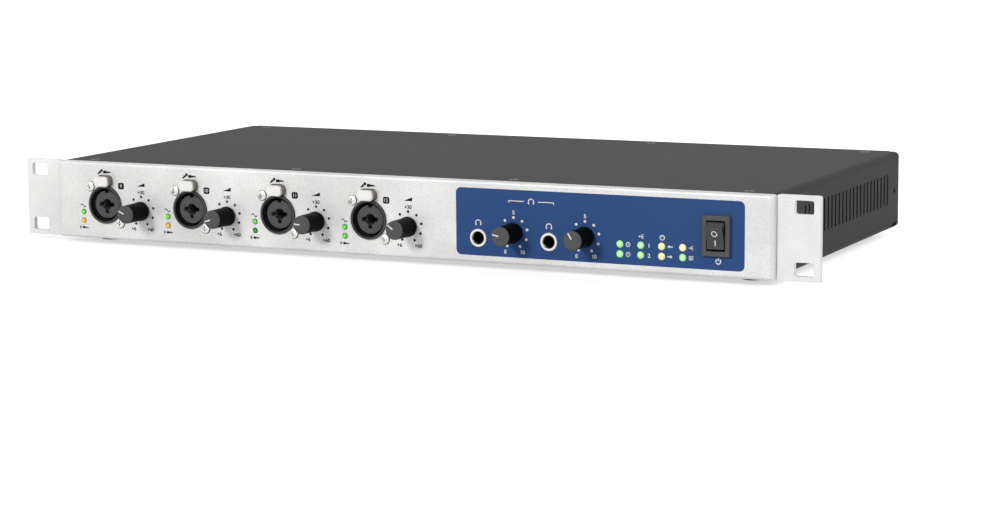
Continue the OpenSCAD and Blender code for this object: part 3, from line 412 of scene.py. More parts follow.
def ribbon_stripes(tree):
    """Grey wires with the first one red, and painted shade in the grooves between the wires."""
    low = low_high("ribbon_cable")[0]
    across = math_node(tree, "SUBTRACT", where_in_model(tree)["X"], low.x)
    share = math_node(tree, "PINGPONG", math_node(tree, "DIVIDE", across, WIRE_PITCH), 0.5)
    # Darker lines between the wires are painted shade in the grooves.
    groove_shade = math_node(tree, "LESS_THAN", share, 0.12)
    first = math_node(tree, "LESS_THAN", across, WIRE_PITCH)
    wires = mix_color(tree, groove_shade, grey(0.36), grey(0.16))
    return mix_color(tree, first, wires, (0.4, 0.02, 0.02))


# ---------- Finishes of this object ----------

PAINT = dict(roughness=0.66, grain=0.35, vary=0.04, bump=0.012, rough_vary=0.03, edge=0.3,
             worn=grey(0.3), wear=0.4, specular=0.14)
LENS = dict(roughness=0.25, bump=0.0, edge=0.1)
INK = dict(roughness=0.6, grain=0.45, vary=0.06, bump=0.012, edge=0.02, specular=0.12)

# A colour is three linear values, a function that paints it, or the name of a setting.
FINISHES = {
    "blasted_aluminium": dict(
        color="panel_color", roughness=0.55, metallic=0.45, grain=0.55, vary=0.5, bump=0.04,
        rough_vary=0.12, edge=0.35, worn=grey(0.93), wear=0.5),
    "dark_paint": dict(PAINT, color="case_color"),
    # The vented side panels carry painted shade in their slots.
    "vented_paint": dict(PAINT, color=vent_painted_shade),
    "foot_rubber": dict(
        color=(0.018, 0.018, 0.019), roughness=0.82, grain=0.5, vary=0.4, bump=0.03, edge=0.5,
        specular=0.3),
    "black_steel": dict(
        color=(0.022, 0.022, 0.024), roughness=0.36, metallic=0.6, grain=0.15, vary=0.3,
        bump=0.006, edge=0.12, worn=(0.4, 0.39, 0.37), wear=0.5),
    "nickel": dict(
        color=(0.76, 0.75, 0.72), roughness=0.24, metallic=1.0, grain=0.4, vary=0.08,
        bump=0.002, rough_vary=0.14, edge=0.15, worn=(0.9, 0.88, 0.83), wear=0.3),
    # The front screws' dark rims and crosses are painted shade.
    "front_screws": dict(
        color=screw_painted_shade, roughness=0.32, metallic=0.7, vary=0.1, bump=0.002, edge=0.05),
    # The latches' brown sides are a painted shadow.
    "latch_metal": dict(
        color=latch_painted_shade, roughness=0.4, metallic=0.15, vary=0.04, bump=0.002, edge=0.2),
    "black_plastic": dict(
        color=(0.004, 0.004, 0.0042), roughness=0.45, grain=0.22, vary=0.3, bump=0.006,
        edge=0.2, worn=grey(0.08), wear=0.4, specular=0.05),
    "switch_frame": dict(
        color=(0.085, 0.085, 0.086), roughness=0.5, grain=0.25, vary=0.15, bump=0.006, edge=0.2,
        worn=grey(0.12), wear=0.3, specular=0.25),
    "rocker_gloss": dict(
        color=(0.03, 0.03, 0.031), roughness=0.3, grain=0.2, vary=0.1, bump=0.003, edge=0.2,
        worn=grey(0.2), wear=0.4, specular=0.55),
    "grey_plastic": dict(
        color=(0.03, 0.03, 0.032), roughness=0.46, grain=0.25, vary=0.2, bump=0.008, edge=0.18,
        worn=grey(0.12), wear=0.35, specular=0.25),
    # The inlet's black well is painted shade.
    "inlet_plastic": dict(
        color=inlet_painted_shade, roughness=0.5, grain=0.22, vary=0.1, bump=0.006, edge=0.2,
        worn=grey(0.1), wear=0.3, specular=0.15),
    "pale_plastic": dict(color=(0.68, 0.68, 0.65), roughness=0.42, bump=0.004, edge=0.18),
    "flap_plastic": dict(color=grey(0.18), roughness=0.5, grain=0.25, vary=0.2, edge=0.12),
    "gold": dict(
        color=(0.86, 0.63, 0.27), roughness=0.24, metallic=1.0, vary=0.1, bump=0.002, edge=0.1),
    "pot_case": dict(color=(0.16, 0.2, 0.18), roughness=0.42, metallic=0.3, vary=0.2),
    "knob_rubber": dict(
        color=knob_shade, roughness=0.5, grain=0.25, vary=0.15, bump=0.005, edge=0.3,
        worn=grey(0.2), wear=0.15, specular=0.03),
    "channel_lens": dict(LENS, color=channel_lamp_shade, glow=0.55),
    "state_lens": dict(LENS, color=state_lamp_shade, vary=0.03, glow=0.3),
    "mode_lens": dict(LENS, color=srgb(120, 178, 232), roughness=0.3, glow=0.5),
    "circuit_board": dict(color=board_pattern, roughness=0.34, vary=0.1),
    "coil_tape": dict(color=tape_bands, roughness=0.36, grain=0.6, vary=0.2, bump=0.02),
    "capacitor_sleeve": dict(color=sleeve_bands, roughness=0.3, grain=0.6, vary=0.1),
    "ribbon_plastic": dict(color=ribbon_stripes, roughness=0.5, grain=0.4, vary=0.1),
    "black_ink": dict(INK, color=(0.006, 0.006, 0.0065)),
    "white_ink": dict(INK, color=grey(0.86)),
    "blue_ink": dict(INK, color="field_color"),
}

# A slot that isn't listed here has the finish of its own name.
FINISH_OF_SLOT = {
    "silver_panel": "blasted_aluminium", "dark_cover": "dark_paint", "dark_sheet": "dark_paint",
    "black_screw": "black_steel", "contact_brass": "gold", "pot_body": "pot_case",
    "lamp_green": "channel_lens", "lamp_pale": "state_lens", "lamp_blue": "mode_lens",
    "white_shell": "pale_plastic", "knob_plastic": "knob_rubber", "coil_wrap": "coil_tape",
    "ribbon": "ribbon_plastic",
}
FINISH_OF_NODE = {
    "optical_flap_1": "flap_plastic", "optical_flap_3": "flap_plastic",
    "mains_inlet": "inlet_plastic", "front_connector_screws": "front_screws",
    "left_side_panel": "vented_paint", "right_side_panel": "vented_paint",
    "power_switch_housing": "switch_frame", "power_rocker": "rocker_gloss",
    **{f"socket_latch_{k}": "latch_metal" for k in (1, 2, 3, 4)},
}


def finish_named(name):
    """The material of this name, made at its first use."""
    made = bpy.data.materials.get(name)
    if made:
        return made
    values = dict(FINISHES[name])
    if isinstance(values["color"], str):
        values["color"] = tuple(getattr(looks(), values["color"]))
    return finish(name, **values)


# ---------- Raised marks ----------

INK_LOW = 0.004
INK_HIGH = 0.045
# Height of a digit as a share of the size of its type.
CAPITAL = 0.73


def point_at(x, y, radius, angle):
    """A point at an angle in degrees, clockwise from straight up."""
    turn = math.radians(angle)
    return x + radius * math.sin(turn), y + radius * math.cos(turn)


def arc(x, y, radius, start, end, steps=24):
    """Points from one angle to another."""
    return [point_at(x, y, radius, start + (end - start) * k / steps) for k in range(steps + 1)]


def circle(x, y, radius, steps):
    return arc(x, y, radius, 0, 360, steps)[:-1]


def round_box(x, y, wide, high, radius, steps=6):
    """Outline of a rectangle with round corners, clockwise from its upper left."""
    points = []
    for k, (sx, sy) in enumerate(((-1, 1), (1, 1), (1, -1), (-1, -1))):
        points += arc(x + sx * (wide / 2 - radius), y + sy * (high / 2 - radius), radius,
                      90 * k - 90, 90 * k, steps)
    return points


class Marks:
    """Flat marks on one face, in millimetres on that face, gathered into one raised piece."""

    def __init__(self, face, low=INK_LOW, high=INK_HIGH, bold=1.0):
        self.face, self.low, self.high, self.bold = face, low, high, bold
        self.mesh = bmesh.new()

    def join(self, first, second):
        """A closed band of faces between two rings of corners."""
        for k in range(len(first)):
            last = (k + 1) % len(first)
            self.mesh.faces.new((first[k], first[last], second[last], second[k]))

    def solid(self, rings):
        """Bands between rings of points, each at its own height."""
        rows = [[self.mesh.verts.new(point) for point in ring] for ring in rings]
        for below, above in zip(rows, rows[1:]):
            self.join(below, above)
        return rows

    def shape(self, outline):
        """A filled outline without holes."""
        rows = self.solid([[(x, y, h) for x, y in outline] for h in (self.low, self.high)])
        self.mesh.faces.new(rows[0][::-1])
        self.mesh.faces.new(rows[1])

    def loop(self, outer, inner):
        """A filled band between two outlines with as many points."""
        edges = ((outer, self.low), (outer, self.high), (inner, self.high), (inner, self.low))
        rows = self.solid([[(x, y, h) for x, y in line] for line, h in edges])
        self.join(rows[3], rows[0])

    def dot(self, x, y, radius, steps=20):
        self.shape(circle(x, y, radius, steps))

    def ring(self, x, y, radius, wide, steps=48):
        wide *= self.bold
        self.loop(circle(x, y, radius + wide / 2, steps), circle(x, y, radius - wide / 2, steps))

    def stroke(self, points, wide):
        """A line of even width through some points."""
        left, right = [], []
        for k, point in enumerate(points):
            before = Vector(points[max(k - 1, 0)])
            after = Vector(points[min(k + 1, len(points) - 1)])
            here = Vector(point)
            arms = [a.normalized() for a in (here - before, after - here) if a.length > 1e-9]
            along = sum(arms, Vector((0, 0))).normalized()
            reach = wide * self.bold / 2 / max(0.4, along.dot(arms[0]))
            side = Vector((-along.y, along.x)) * reach
            left.append(tuple(here + side))
            right.append(tuple(here - side))
        self.shape(left + right[::-1])

    def text(self, words, x, y, high, stretch=1.0, weight=0.0):
        """Numbers or signs, centred at a point."""
        curve = bpy.data.curves.new("mark", "FONT")
        curve.body, curve.offset = words, weight
        scale = high / CAPITAL
        curve.extrude = (self.high - self.low) / 2 / scale
        holder = bpy.data.objects.new("mark", curve)
        flat = bpy.data.meshes.new_from_object(holder)
        spread = [[v.co[i] for v in flat.vertices] for i in (0, 1)]
        middle = [(min(s) + max(s)) / 2 for s in spread]
        level = (self.high + self.low) / 2
        flat.transform(Matrix.Translation((x, y, level))
                       @ Matrix.Diagonal((scale * stretch, scale, scale, 1))
                       @ Matrix.Translation((-middle[0], -middle[1], 0)))
        drawn = set(self.mesh.verts)
        self.mesh.from_mesh(flat)
        corners = [v for v in self.mesh.verts if v not in drawn]
        bmesh.ops.remove_doubles(self.mesh, verts=corners, dist=1e-4)
        for waste, store in ((holder, bpy.data.objects), (curve, bpy.data.curves),
                             (flat, bpy.data.meshes)):
            store.remove(waste)

    def drape(self, node):
        """Lays the marks on a node's curved surface, straight below where they are drawn."""
        shell = frame["nodes"][node].data
        surface = BVHTree.FromPolygons([v.co for v in shell.vertices],
                                       [p.vertices for p in shell.polygons])
        inward = (self.face.to_3x3() @ Vector((0, 0, -1))).normalized()
        for vert in self.mesh.verts:
            above = self.face @ Vector((vert.co.x, vert.co.y, 50))
            hit = surface.ray_cast(above, inward)[0]
            if hit is None:
                raise RuntimeError(f"a mark misses {node}")
            vert.co.z += on_face(self.face, hit).z

    def piece(self, name, finish_name, body="case", slot=None):
        """Puts the marks on the object as one piece that rides on a body."""
        bmesh.ops.transform(self.mesh, matrix=self.face, verts=self.mesh.verts)
        bmesh.ops.recalc_face_normals(self.mesh, faces=self.mesh.faces)
        data = bpy.data.meshes.new(name)
        self.mesh.to_mesh(data)
        self.mesh.free()
        if not data.polygons:
            raise RuntimeError(f"{name} has no faces")
        place_piece(name, data, finish_name, body)


def place_piece(name, data, finish_name, body="case"):
    made = bpy.data.objects.new(name, data)
    bpy.context.scene.collection.objects.link(made)
    data.materials.append(finish_named(finish_name))
    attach(made, body)


# ---------- Small signs, each about one unit high ----------


def cut(marks, x, y, size, corners):
    """A filled outline, with its corners given for a sign one unit high."""
    marks.shape([(x + a * size, y + b * size) for a, b in corners])


def number(words):
    """Numbers as a sign, so that they can stand in a table of signs."""
    return lambda marks, x, y, size: marks.text(words, x, y, size, weight=BOLD)


def microphone(marks, x, y, size):
    """A hand microphone that leans to the right."""
    marks.dot(x + 0.3 * size, y + 0.22 * size, 0.27 * size, 20)
    cut(marks, x, y, size, ((-0.1, 0.2), (0.22, -0.12), (-0.5, -0.52), (-0.6, -0.42)))


def jack_plug(marks, x, y, size):
    marks.shape(round_box(x - 0.42 * size, y, 0.56 * size, 0.42 * size, 0.08 * size))
    marks.stroke([(x - 0.14 * size, y), (x + 0.42 * size, y)], 0.2 * size)
    cut(marks, x, y, size, ((0.5, 0.14), (0.72, 0), (0.5, -0.14)))


def headphones(marks, x, y, size):
    marks.stroke(arc(x, y - 0.1 * size, 0.46 * size, -90, 90), 0.12 * size)
    for side in (-1, 1):
        marks.shape(round_box(x + side * 0.42 * size, y - 0.28 * size, 0.22 * size,
                              0.4 * size, 0.08 * size))


def wave(marks, x, y, size):
    steps = [k / 24 for k in range(25)]
    marks.stroke([(x + (t - 0.5) * 1.7 * size, y + 0.36 * size * math.sin(2 * math.pi * t))
                  for t in steps], 0.17 * size)


def bolt(marks, x, y, size):
    cut(marks, x, y, size, ((0.12, 0.5), (-0.28, -0.08), (-0.03, -0.08), (-0.12, -0.5),
                            (0.28, 0.1), (0.03, 0.1)))


def wedge(marks, x, y, size):
    cut(marks, x, y, size, ((-0.9, -0.36), (0.9, 0.36), (0.9, -0.36)))


def arrow_out(marks, x, y, size, way=1):
    """An arrow to the right for what goes out, or to the left where way is -1."""
    marks.stroke([(x - way * 0.55 * size, y), (x + way * 0.12 * size, y)], 0.17 * size)
    cut(marks, x, y, size, ((way * 0.55, 0), (way * 0.08, 0.34), (way * 0.08, -0.34)))


def arrow_in(marks, x, y, size):
    arrow_out(marks, x, y, size, -1)


def power(marks, x, y, size):
    marks.stroke(arc(x, y - 0.04 * size, 0.38 * size, 35, 325), 0.13 * size)
    marks.stroke([(x, y + 0.02 * size), (x, y + 0.5 * size)], 0.13 * size)


def clock(marks, x, y, size):
    marks.ring(x, y, 0.4 * size, 0.12 * size, 28)
    marks.stroke([(x, y + 0.24 * size), (x, y), (x + 0.18 * size, y)], 0.1 * size)


def three_pins(marks, x, y, size):
    marks.ring(x, y, 0.42 * size, 0.1 * size, 28)
    for a, b in ((-0.17, -0.05), (0.17, -0.05), (0, 0.19)):
        marks.dot(x + a * size, y + b * size, 0.08 * size, 10)


def five_pins(marks, x, y, size):
    marks.ring(x, y, 0.42 * size, 0.1 * size, 28)
    for angle in (-90, -45, 0, 45, 90):
        marks.dot(*point_at(x, y, 0.24 * size, angle), 0.06 * size, 8)


def square_plug(marks, x, y, size):
    marks.loop(round_box(x, y, 0.9 * size, 0.8 * size, 0.16 * size),
               round_box(x, y, 0.68 * size, 0.58 * size, 0.05 * size))
    marks.shape(round_box(x, y, 0.34 * size, 0.26 * size, 0.04 * size))


def light_beam(marks, x, y, size):
    marks.dot(x - 0.3 * size, y, 0.15 * size, 14)
    for angle in (60, 90, 120):
        marks.stroke([point_at(x - 0.3 * size, y, r * size, angle) for r in (0.28, 0.78)],
                     0.1 * size)


def place_signs(marks, x, y, rows):
    """Draws signs around a point; a row gives the sign, its way right and up, and its size."""
    for sign, right, up, size in rows:
        sign(marks, x + right, y + up, size)


# ---------- Settings ----------


class InterfaceLooks(bpy.types.PropertyGroup):
    """Colours and sizes that change the look of the interface."""

    panel_color: FloatVectorProperty(
        name="Front panel", description="Colour of the blasted aluminium front and ears",
        default=(0.72, 0.715, 0.71), subtype="COLOR", min=0, max=1)
    case_color: FloatVectorProperty(
        name="Case", description="Colour of the painted cover, sides, rear and underside",
        default=srgb(50, 50, 52), subtype="COLOR", min=0, max=1)
    field_color: FloatVectorProperty(
        name="Monitor field", description="Colour of the printed field around the monitor",
        default=srgb(50, 82, 135), subtype="COLOR", min=0, max=1)
    dot_radius: FloatProperty(
        name="Scale dots", description="Radius of the dots around the knobs",
        default=0.76 * MM, unit="LENGTH", min=0.2 * MM, max=1 * MM)
    gain_scale: FloatProperty(
        name="Gain scale", description="Radius of the ring of dots around a gain knob",
        default=8.15 * MM, unit="LENGTH", min=6.5 * MM, max=9.5 * MM)
    volume_scale: FloatProperty(
        name="Volume scale", description="Radius of the ring of dots around a volume knob",
        default=8.1 * MM, unit="LENGTH", min=6.5 * MM, max=9.5 * MM)
    field_margin: FloatProperty(
        name="Field margin", description="Bare metal above and below the printed field",
        default=3.85 * MM, unit="LENGTH", min=1 * MM, max=8 * MM)
    key_power: FloatProperty(
        name="Main light", description="Power of the large light over the left shoulder",
        default=109.0, unit="POWER", min=0)
    fill_power: FloatProperty(
        name="Fill light", description="Power of the large light on the right",
        default=7.0, unit="POWER", min=0)
    back_power: FloatProperty(
        name="Back light", description="Power of the light that shows the rear sockets",
        default=320.0, unit="POWER", min=0)
    sky: FloatProperty(
        name="Sky", description="Strength of the even light from all around",
        default=0.28, min=0, max=2)


def looks():
    return bpy.context.scene.interface_looks


# ---------- Stage ----------

CAMERA_LENS = 93.57
CAMERA_PLACE = (0.652272, -1.34655, 0.213616)
CAMERA_TURN = (81.328, 0.4857, 25.397)
LIGHT_AIM = (0, 0, 0.02)
FLOOR_SIZE = 30
LEFT_SHARE = 0.25


def seen_only(tree, strength, otherwise=0.0):
    """A strength for what is seen straight, in gloss or through glass, and another for light."""
    path = add(tree, "LightPath").outputs
    seen = math_node(tree, "MAXIMUM", path["Is Camera Ray"], path["Is Glossy Ray"])
    seen = math_node(tree, "MAXIMUM", seen, path["Is Transmission Ray"])
    made = add(tree, "MapRange", {0: seen, 1: 0.0, 2: 1.0, 3: otherwise, 4: strength})
    return made.outputs[0]


def make_floor():
    bpy.ops.mesh.primitive_plane_add(size=FLOOR_SIZE, location=(0, 0, CAD_BOX[0][2]))
    floor = bpy.context.object
    floor.name = "floor"
    material = bpy.data.materials.new("floor_paper")
    material.use_nodes = True
    tree = material.node_tree
    paper = tree.nodes["Principled BSDF"]
    paper.inputs["Base Color"].default_value = (0.72, 0.72, 0.72, 1)
    paper.inputs["Roughness"].default_value = 0.9
    paper.inputs["Specular IOR Level"].default_value = 0.1
    white = add(tree, "Emission", {"Color": (1, 1, 1), "Strength": seen_only(tree, 0.6)})
    both = add(tree, "AddShader", {0: paper.outputs[0], 1: white.outputs[0]})
    tree.links.new(both.outputs[0], tree.nodes["Material Output"].inputs["Surface"])
    floor.data.materials.append(material)


def make_sky():
    scene = bpy.context.scene
    scene.world = scene.world or bpy.data.worlds.new("studio")
    scene.world.use_nodes = True
    tree = scene.world.node_tree
    background = tree.nodes["Background"]
    background.inputs["Color"].default_value = (1, 1, 1, 1)
    tree.links.new(seen_only(tree, 1.0, looks().sky), background.inputs["Strength"])


def soft_light(name, place, size, watts, shine):
    """A round light on the object; without shine it leaves no gleam on glossy surfaces."""
    data = bpy.data.lights.new(name, "AREA")
    data.shape, data.size, data.energy = "DISK", size, watts
    made = bpy.data.objects.new(name, data)
    bpy.context.scene.collection.objects.link(made)
    made.location = place
    aim = Vector(LIGHT_AIM) - Vector(place)
    made.rotation_euler = aim.to_track_quat("-Z", "Y").to_euler()
    made.visible_glossy = shine


def make_camera():
    data = bpy.data.cameras.new("view")
    data.lens, data.sensor_width, data.sensor_fit = CAMERA_LENS, 36, "HORIZONTAL"
    made = bpy.data.objects.new("view", data)
    bpy.context.scene.collection.objects.link(made)
    made.location = CAMERA_PLACE
    made.rotation_euler = [math.radians(a) for a in CAMERA_TURN]
    bpy.context.scene.camera = made


class INTERFACE_OT_stage(bpy.types.Operator):
    """Set up the camera, the pale floor and the soft lights"""

    bl_idname = "interface.stage"
    bl_label = "Camera, floor and lights"

    def execute(self, context):
        context.scene.view_settings.view_transform = "Standard"
        make_camera()
        make_floor()
        make_sky()
        soft_light("key", (-1.2, -4.3, 2.1), 1.1, looks().key_power, True)
        soft_light("fill", (1.6, -0.9, 0.9), 1.2, looks().fill_power, True)
        soft_light("back", (1.0, 4.4, 0.9), 1.4, looks().back_power, False)
        soft_light("left", (-4.4, 0.6, 0.9), 1.4, looks().back_power * LEFT_SHARE, False)
        return {"FINISHED"}


# ---------- Finishes of the nodes ----------


class INTERFACE_OT_finishes(bpy.types.Operator):
    """Give every part of the model the finish of the real one"""

    bl_idname = "interface.finishes"
    bl_label = "Finishes of all parts"

    def execute(self, context):
        for row in frame["record"]["subparts"]:
            node, slot = row["node"], row["material_slot"]
            held = frame["nodes"][node].material_slots
            if not held:
                raise RuntimeError(f"{node} has no material slot")
            for each in held:
                each.material = finish_named(
                    FINISH_OF_NODE.get(node) or FINISH_OF_SLOT.get(slot, slot))
        return {"FINISHED"}


# ---------- Front marks: millimetres on the front panel ----------

FIRST_CHANNEL = 9
NUMBER_HIGH = 2.1
DIGIT_SHARE = 0.8
BOLD = 0.025
SCALE_SWEEP = 152.5
SCALE_DOTS = 9
BADGE = (10.9, 11.2)
# Where the socket screws stand from each socket, with painted shade rings round them.
SCREW_SHADE_RING = (9.9, -10.2)
FIELD_LEFT, FIELD_RIGHT, FIELD_CORNER = 38.4, 202.2, 3
PHONES_HOLE, KNOB_HOLE, LAMP_HOLE = 4.8, 3.9, 2.0
LAMP_RADIUS = 1.95
STATE_SIGN = 2.7
PHONES_LINE = 34.2

GAIN_SIGNS = (
    (number("+30"), 0, 10.6, NUMBER_HIGH), (number("+6"), -5.4, -10.3, NUMBER_HIGH),
    (number("+60"), 6.1, -10.2, NUMBER_HIGH), (wedge, 0, 15, 2.9))
INPUT_SIGNS = (
    (microphone, -3, 18.9, 3.2), (jack_plug, 1.8, 18.8, 3.8), (wave, -15.2, -1.1, 2.2),
    (bolt, -17.4, -13.7, 2.9), (jack_plug, -14, -13.7, 3))
VOLUME_SIGNS = (
    (number("5"), 0, 10.8, NUMBER_HIGH), (number("0"), -4.9, -10.4, NUMBER_HIGH),
    (number("10"), 5.4, -10.2, NUMBER_HIGH))
STATE_SIGNS = (
    (clock, 1), (number("1"), DIGIT_SHARE), (arrow_in, 1), (light_beam, 1), (three_pins, 1),
    (number("2"), DIGIT_SHARE), (arrow_out, 1), (square_plug, 1))


def knob_places(kind):
    names = sorted(n for n in frame["nodes"] if n.startswith(kind + "_knob"))
    return [middle_on(FRONT, n) for n in names]


def state_lamp_places():
    """Where the eight state lamps stand on the front, upper row first."""
    low, high = face_box(FRONT, "state_leds")
    step = (high.x - low.x - 2 * LAMP_RADIUS) / 3
    return [(low.x + LAMP_RADIUS + k * step, y)
            for y in (high.y - LAMP_RADIUS, low.y + LAMP_RADIUS) for k in range(4)]


def scale_dots(marks, x, y, radius):
    """Dots from one end of a knob's turn to the other."""
    for px, py in arc(x, y, radius / MM, -SCALE_SWEEP, SCALE_SWEEP, SCALE_DOTS - 1):
        marks.dot(px, py, looks().dot_radius / MM)


class INTERFACE_OT_monitor_field(bpy.types.Operator):
    """Print the coloured field around the monitor controls, with holes for what passes through"""

    bl_idname = "interface.monitor_field"
    bl_label = "Monitor field"

    def execute(self, context):
        margin = looks().field_margin / MM
        low, high = face_box(FRONT, "front_panel")
        edges = [round_box((FIELD_LEFT + FIELD_RIGHT) / 2, (high.y - low.y) / 2,
                           FIELD_RIGHT - FIELD_LEFT, high.y - low.y - 2 * margin, FIELD_CORNER)]
        holes = [(p.x, p.y, PHONES_HOLE) for p in mounts_like("phones_jack", FRONT)]
        holes += [(p.x, p.y, KNOB_HOLE) for p in knob_places("volume")]
        holes += [(x, y, LAMP_HOLE) for x, y in state_lamp_places()]
        edges += [circle(x, y, radius, 48) for x, y, radius in holes]
        low, high = face_box(FRONT, "power_switch_housing")
        edges.append([(low.x, low.y), (high.x, low.y), (high.x, high.y), (low.x, high.y)])
        curve = bpy.data.curves.new("monitor_field", "CURVE")
        curve.dimensions, curve.fill_mode = "2D", "BOTH"
        curve.extrude = (INK_HIGH - INK_LOW) / 4
        for edge in edges:
            line = curve.splines.new("POLY")
            line.points.add(len(edge) - 1)
            for point, (x, y) in zip(line.points, edge):
                point.co = (x, y, 0, 1)
            line.use_cyclic_u = True
        holder = bpy.data.objects.new("monitor_field_outline", curve)
        data = bpy.data.meshes.new_from_object(holder)
        data.name = "monitor_field"
        level = INK_LOW + (INK_HIGH - INK_LOW) / 4
        data.transform(FRONT @ Matrix.Translation((0, 0, level)))
        bpy.data.objects.remove(holder)
        bpy.data.curves.remove(curve)
        if not data.polygons:
            raise RuntimeError("the monitor field has no faces")
        place_piece("monitor_field", data, "blue_ink")
        return {"FINISHED"}


class INTERFACE_OT_channel_marks(bpy.types.Operator):
    """Print the gain scales, channel numbers and signs of the four inputs, and paint shade rings
    round the socket screws
    """

    bl_idname = "interface.channel_marks"
    bl_label = "Marks of the four inputs"

    def execute(self, context):
        black = Marks(FRONT, bold=1.25)
        white = Marks(FRONT, INK_HIGH, 2 * INK_HIGH)
        sockets = mounts_like("mic_jack", FRONT)
        for k, (socket, knob) in enumerate(zip(sockets, knob_places("gain"))):
            scale_dots(black, knob.x, knob.y, looks().gain_scale)
            place_signs(black, knob.x, knob.y, GAIN_SIGNS)
            place_signs(black, socket.x, socket.y, INPUT_SIGNS)
            x, y = socket.x + BADGE[0], socket.y + BADGE[1]
            black.shape(round_box(x, y, 3.9, 3.7, 0.9))
            white.text(str(FIRST_CHANNEL + k), x, y, 2)
            # The rings round the socket screws' heads are painted shade, not print.
            for side in (-1, 1):
                black.ring(socket.x + SCREW_SHADE_RING[0] * side, socket.y + SCREW_SHADE_RING[1] * side,
                           2.75, 0.28, 32)
        black.piece("channel_scales", "black_ink")
        white.piece("channel_numbers", "white_ink")
        return {"FINISHED"}


class INTERFACE_OT_monitor_marks(bpy.types.Operator):
    """Print the volume scales and signs on the monitor field"""

    bl_idname = "interface.monitor_marks"
    bl_label = "Marks of the monitor field"

    def execute(self, context):
        white = Marks(FRONT, INK_HIGH, 2 * INK_HIGH, bold=1.3)
        knobs, jacks = knob_places("volume"), mounts_like("phones_jack", FRONT)
        for knob in knobs:
            scale_dots(white, knob.x, knob.y, looks().volume_scale)
            place_signs(white, knob.x, knob.y, VOLUME_SIGNS)
        for jack in jacks:
            headphones(white, jack.x, jack.y + 8.4, 3.4)
        middle = (jacks[0].x + knobs[1].x) / 2
        headphones(white, middle, PHONES_LINE + 0.2, 3.4)
        for side in (-1, 1):
            end = middle + side * 13
            white.stroke([(middle + side * 4, PHONES_LINE), (end, PHONES_LINE),
                          (end, PHONES_LINE - 1)], 0.35)
        lamps = state_lamp_places()
        for (x, y), (sign, share) in zip(lamps, STATE_SIGNS):
            sign(white, x + 4.7, y, STATE_SIGN * share)
        for sign, (x, y) in ((light_beam, lamps[1]), (five_pins, lamps[2])):
            sign(white, x + 0.4, y + 4.6, 3)
        switch = middle_on(FRONT, "power_switch_housing")
        power(white, switch.x + 0.8, switch.y - 13.2, 3.4)
        white.piece("monitor_scales", "white_ink")
        return {"FINISHED"}


# ---------- Knobs and rocker ----------

GROOVE_DEPTH = 0.3
POINTER_ENDS = (0.94, 4.62)
POINTER_WIDE = 0.74


def body_named(node):
    """The moving body that a node belongs to."""
    bodies = frame["record"]["behaviour"]["bodies"]
    return next(name for name, nodes in bodies.items() if node in nodes)


def pointer_turn(node):
    """How far a knob's pointer groove is turned, clockwise from straight up, in radians."""
    floor = low_high(node)[0].y + GROOVE_DEPTH * MM
    corners = [v.co for v in frame["nodes"][node].data.vertices if abs(v.co.y - floor) < 1e-5]
    if len(corners) < 4:
        raise RuntimeError(f"{node} has no pointer groove")
    mean = sum(corners, Vector()) / len(corners) - centre(node)
    return math.atan2(mean.x, mean.z)


class INTERFACE_OT_knob_pointers(bpy.types.Operator):
    """Fill each knob's pointer groove with white"""

    bl_idname = "interface.knob_pointers"
    bl_label = "Knob pointers"

    def execute(self, context):
        for node in sorted(n for n in frame["nodes"] if "_knob_" in n):
            out = on_face(FRONT, low_high(node)[0]).z
            line = Marks(FRONT, out - GROOVE_DEPTH + 0.01, out - 0.03)
            at = middle_on(FRONT, node)
            turn = pointer_turn(node)
            along = Vector((math.sin(turn), math.cos(turn)))
            ends = [Vector((at.x, at.y)) + along * r for r in POINTER_ENDS]
            line.stroke([tuple(e) for e in ends], POINTER_WIDE)
            line.piece(node.replace("knob", "pointer"), "white_ink", body_named(node))
        return {"FINISHED"}


class INTERFACE_OT_rocker_marks(bpy.types.Operator):
    """Print the circle and the bar on the hollow face of the power rocker"""

    bl_idname = "interface.rocker_marks"
    bl_label = "Rocker marks"

    def execute(self, context):
        switch = middle_on(FRONT, "power_switch_housing")
        mark = Marks(FRONT)
        mark.ring(switch.x, switch.y + 1.4, 1.35, 0.5, 32)
        mark.stroke([(switch.x, switch.y - 4.9 + k * 0.56) for k in range(6)], 0.6)
        mark.drape("power_rocker")
        mark.piece("rocker_marks", "white_ink", body_named("power_rocker"))
        return {"FINISHED"}


# ---------- Rear marks and fittings: millimetres on the rear panel ----------

COLLAR = 8.35
COLLAR_RIM = 1.3
OPTICAL_WIDE = 10.5
BARREL_WIDE = 16.5
INSERT_WIDE = 7.6
JACK_BORE = 6.4
SOCKET_NOSE = 21.7
SOCKET_BORE = 19
ROW_LOW, ROW_COAX, ROW_HIGH = 3.4, 4.2, 38.3
DIGIT_RIGHT, DIGIT_UP, DIGIT_HIGH = 5.1, 6.8, 2.9
DIVIDER_LEFT, DIVIDER_LOW, DIVIDER_GAP, DIVIDER_WIDE = 12.1, 4.8, 3.3, 0.75
BRACKET_MIDDLE, BRACKET_LINE, BRACKET_START, BRACKET_END = 24, 5.2, 8, 28
OUTLINE_LEFT, OUTLINE_GAP, OUTLINE_LOW, OUTLINE_HIGH = 10.4, 1.2, 12.7, 31.3
LINE_WIDE = 0.4
OPTICAL_SIGNS_UP = 7.7
# Width and gap of the painted shade down the jack bores.
BORE_SHADE_WIDE, BORE_SHADE_GAP = 0.1, 0.08

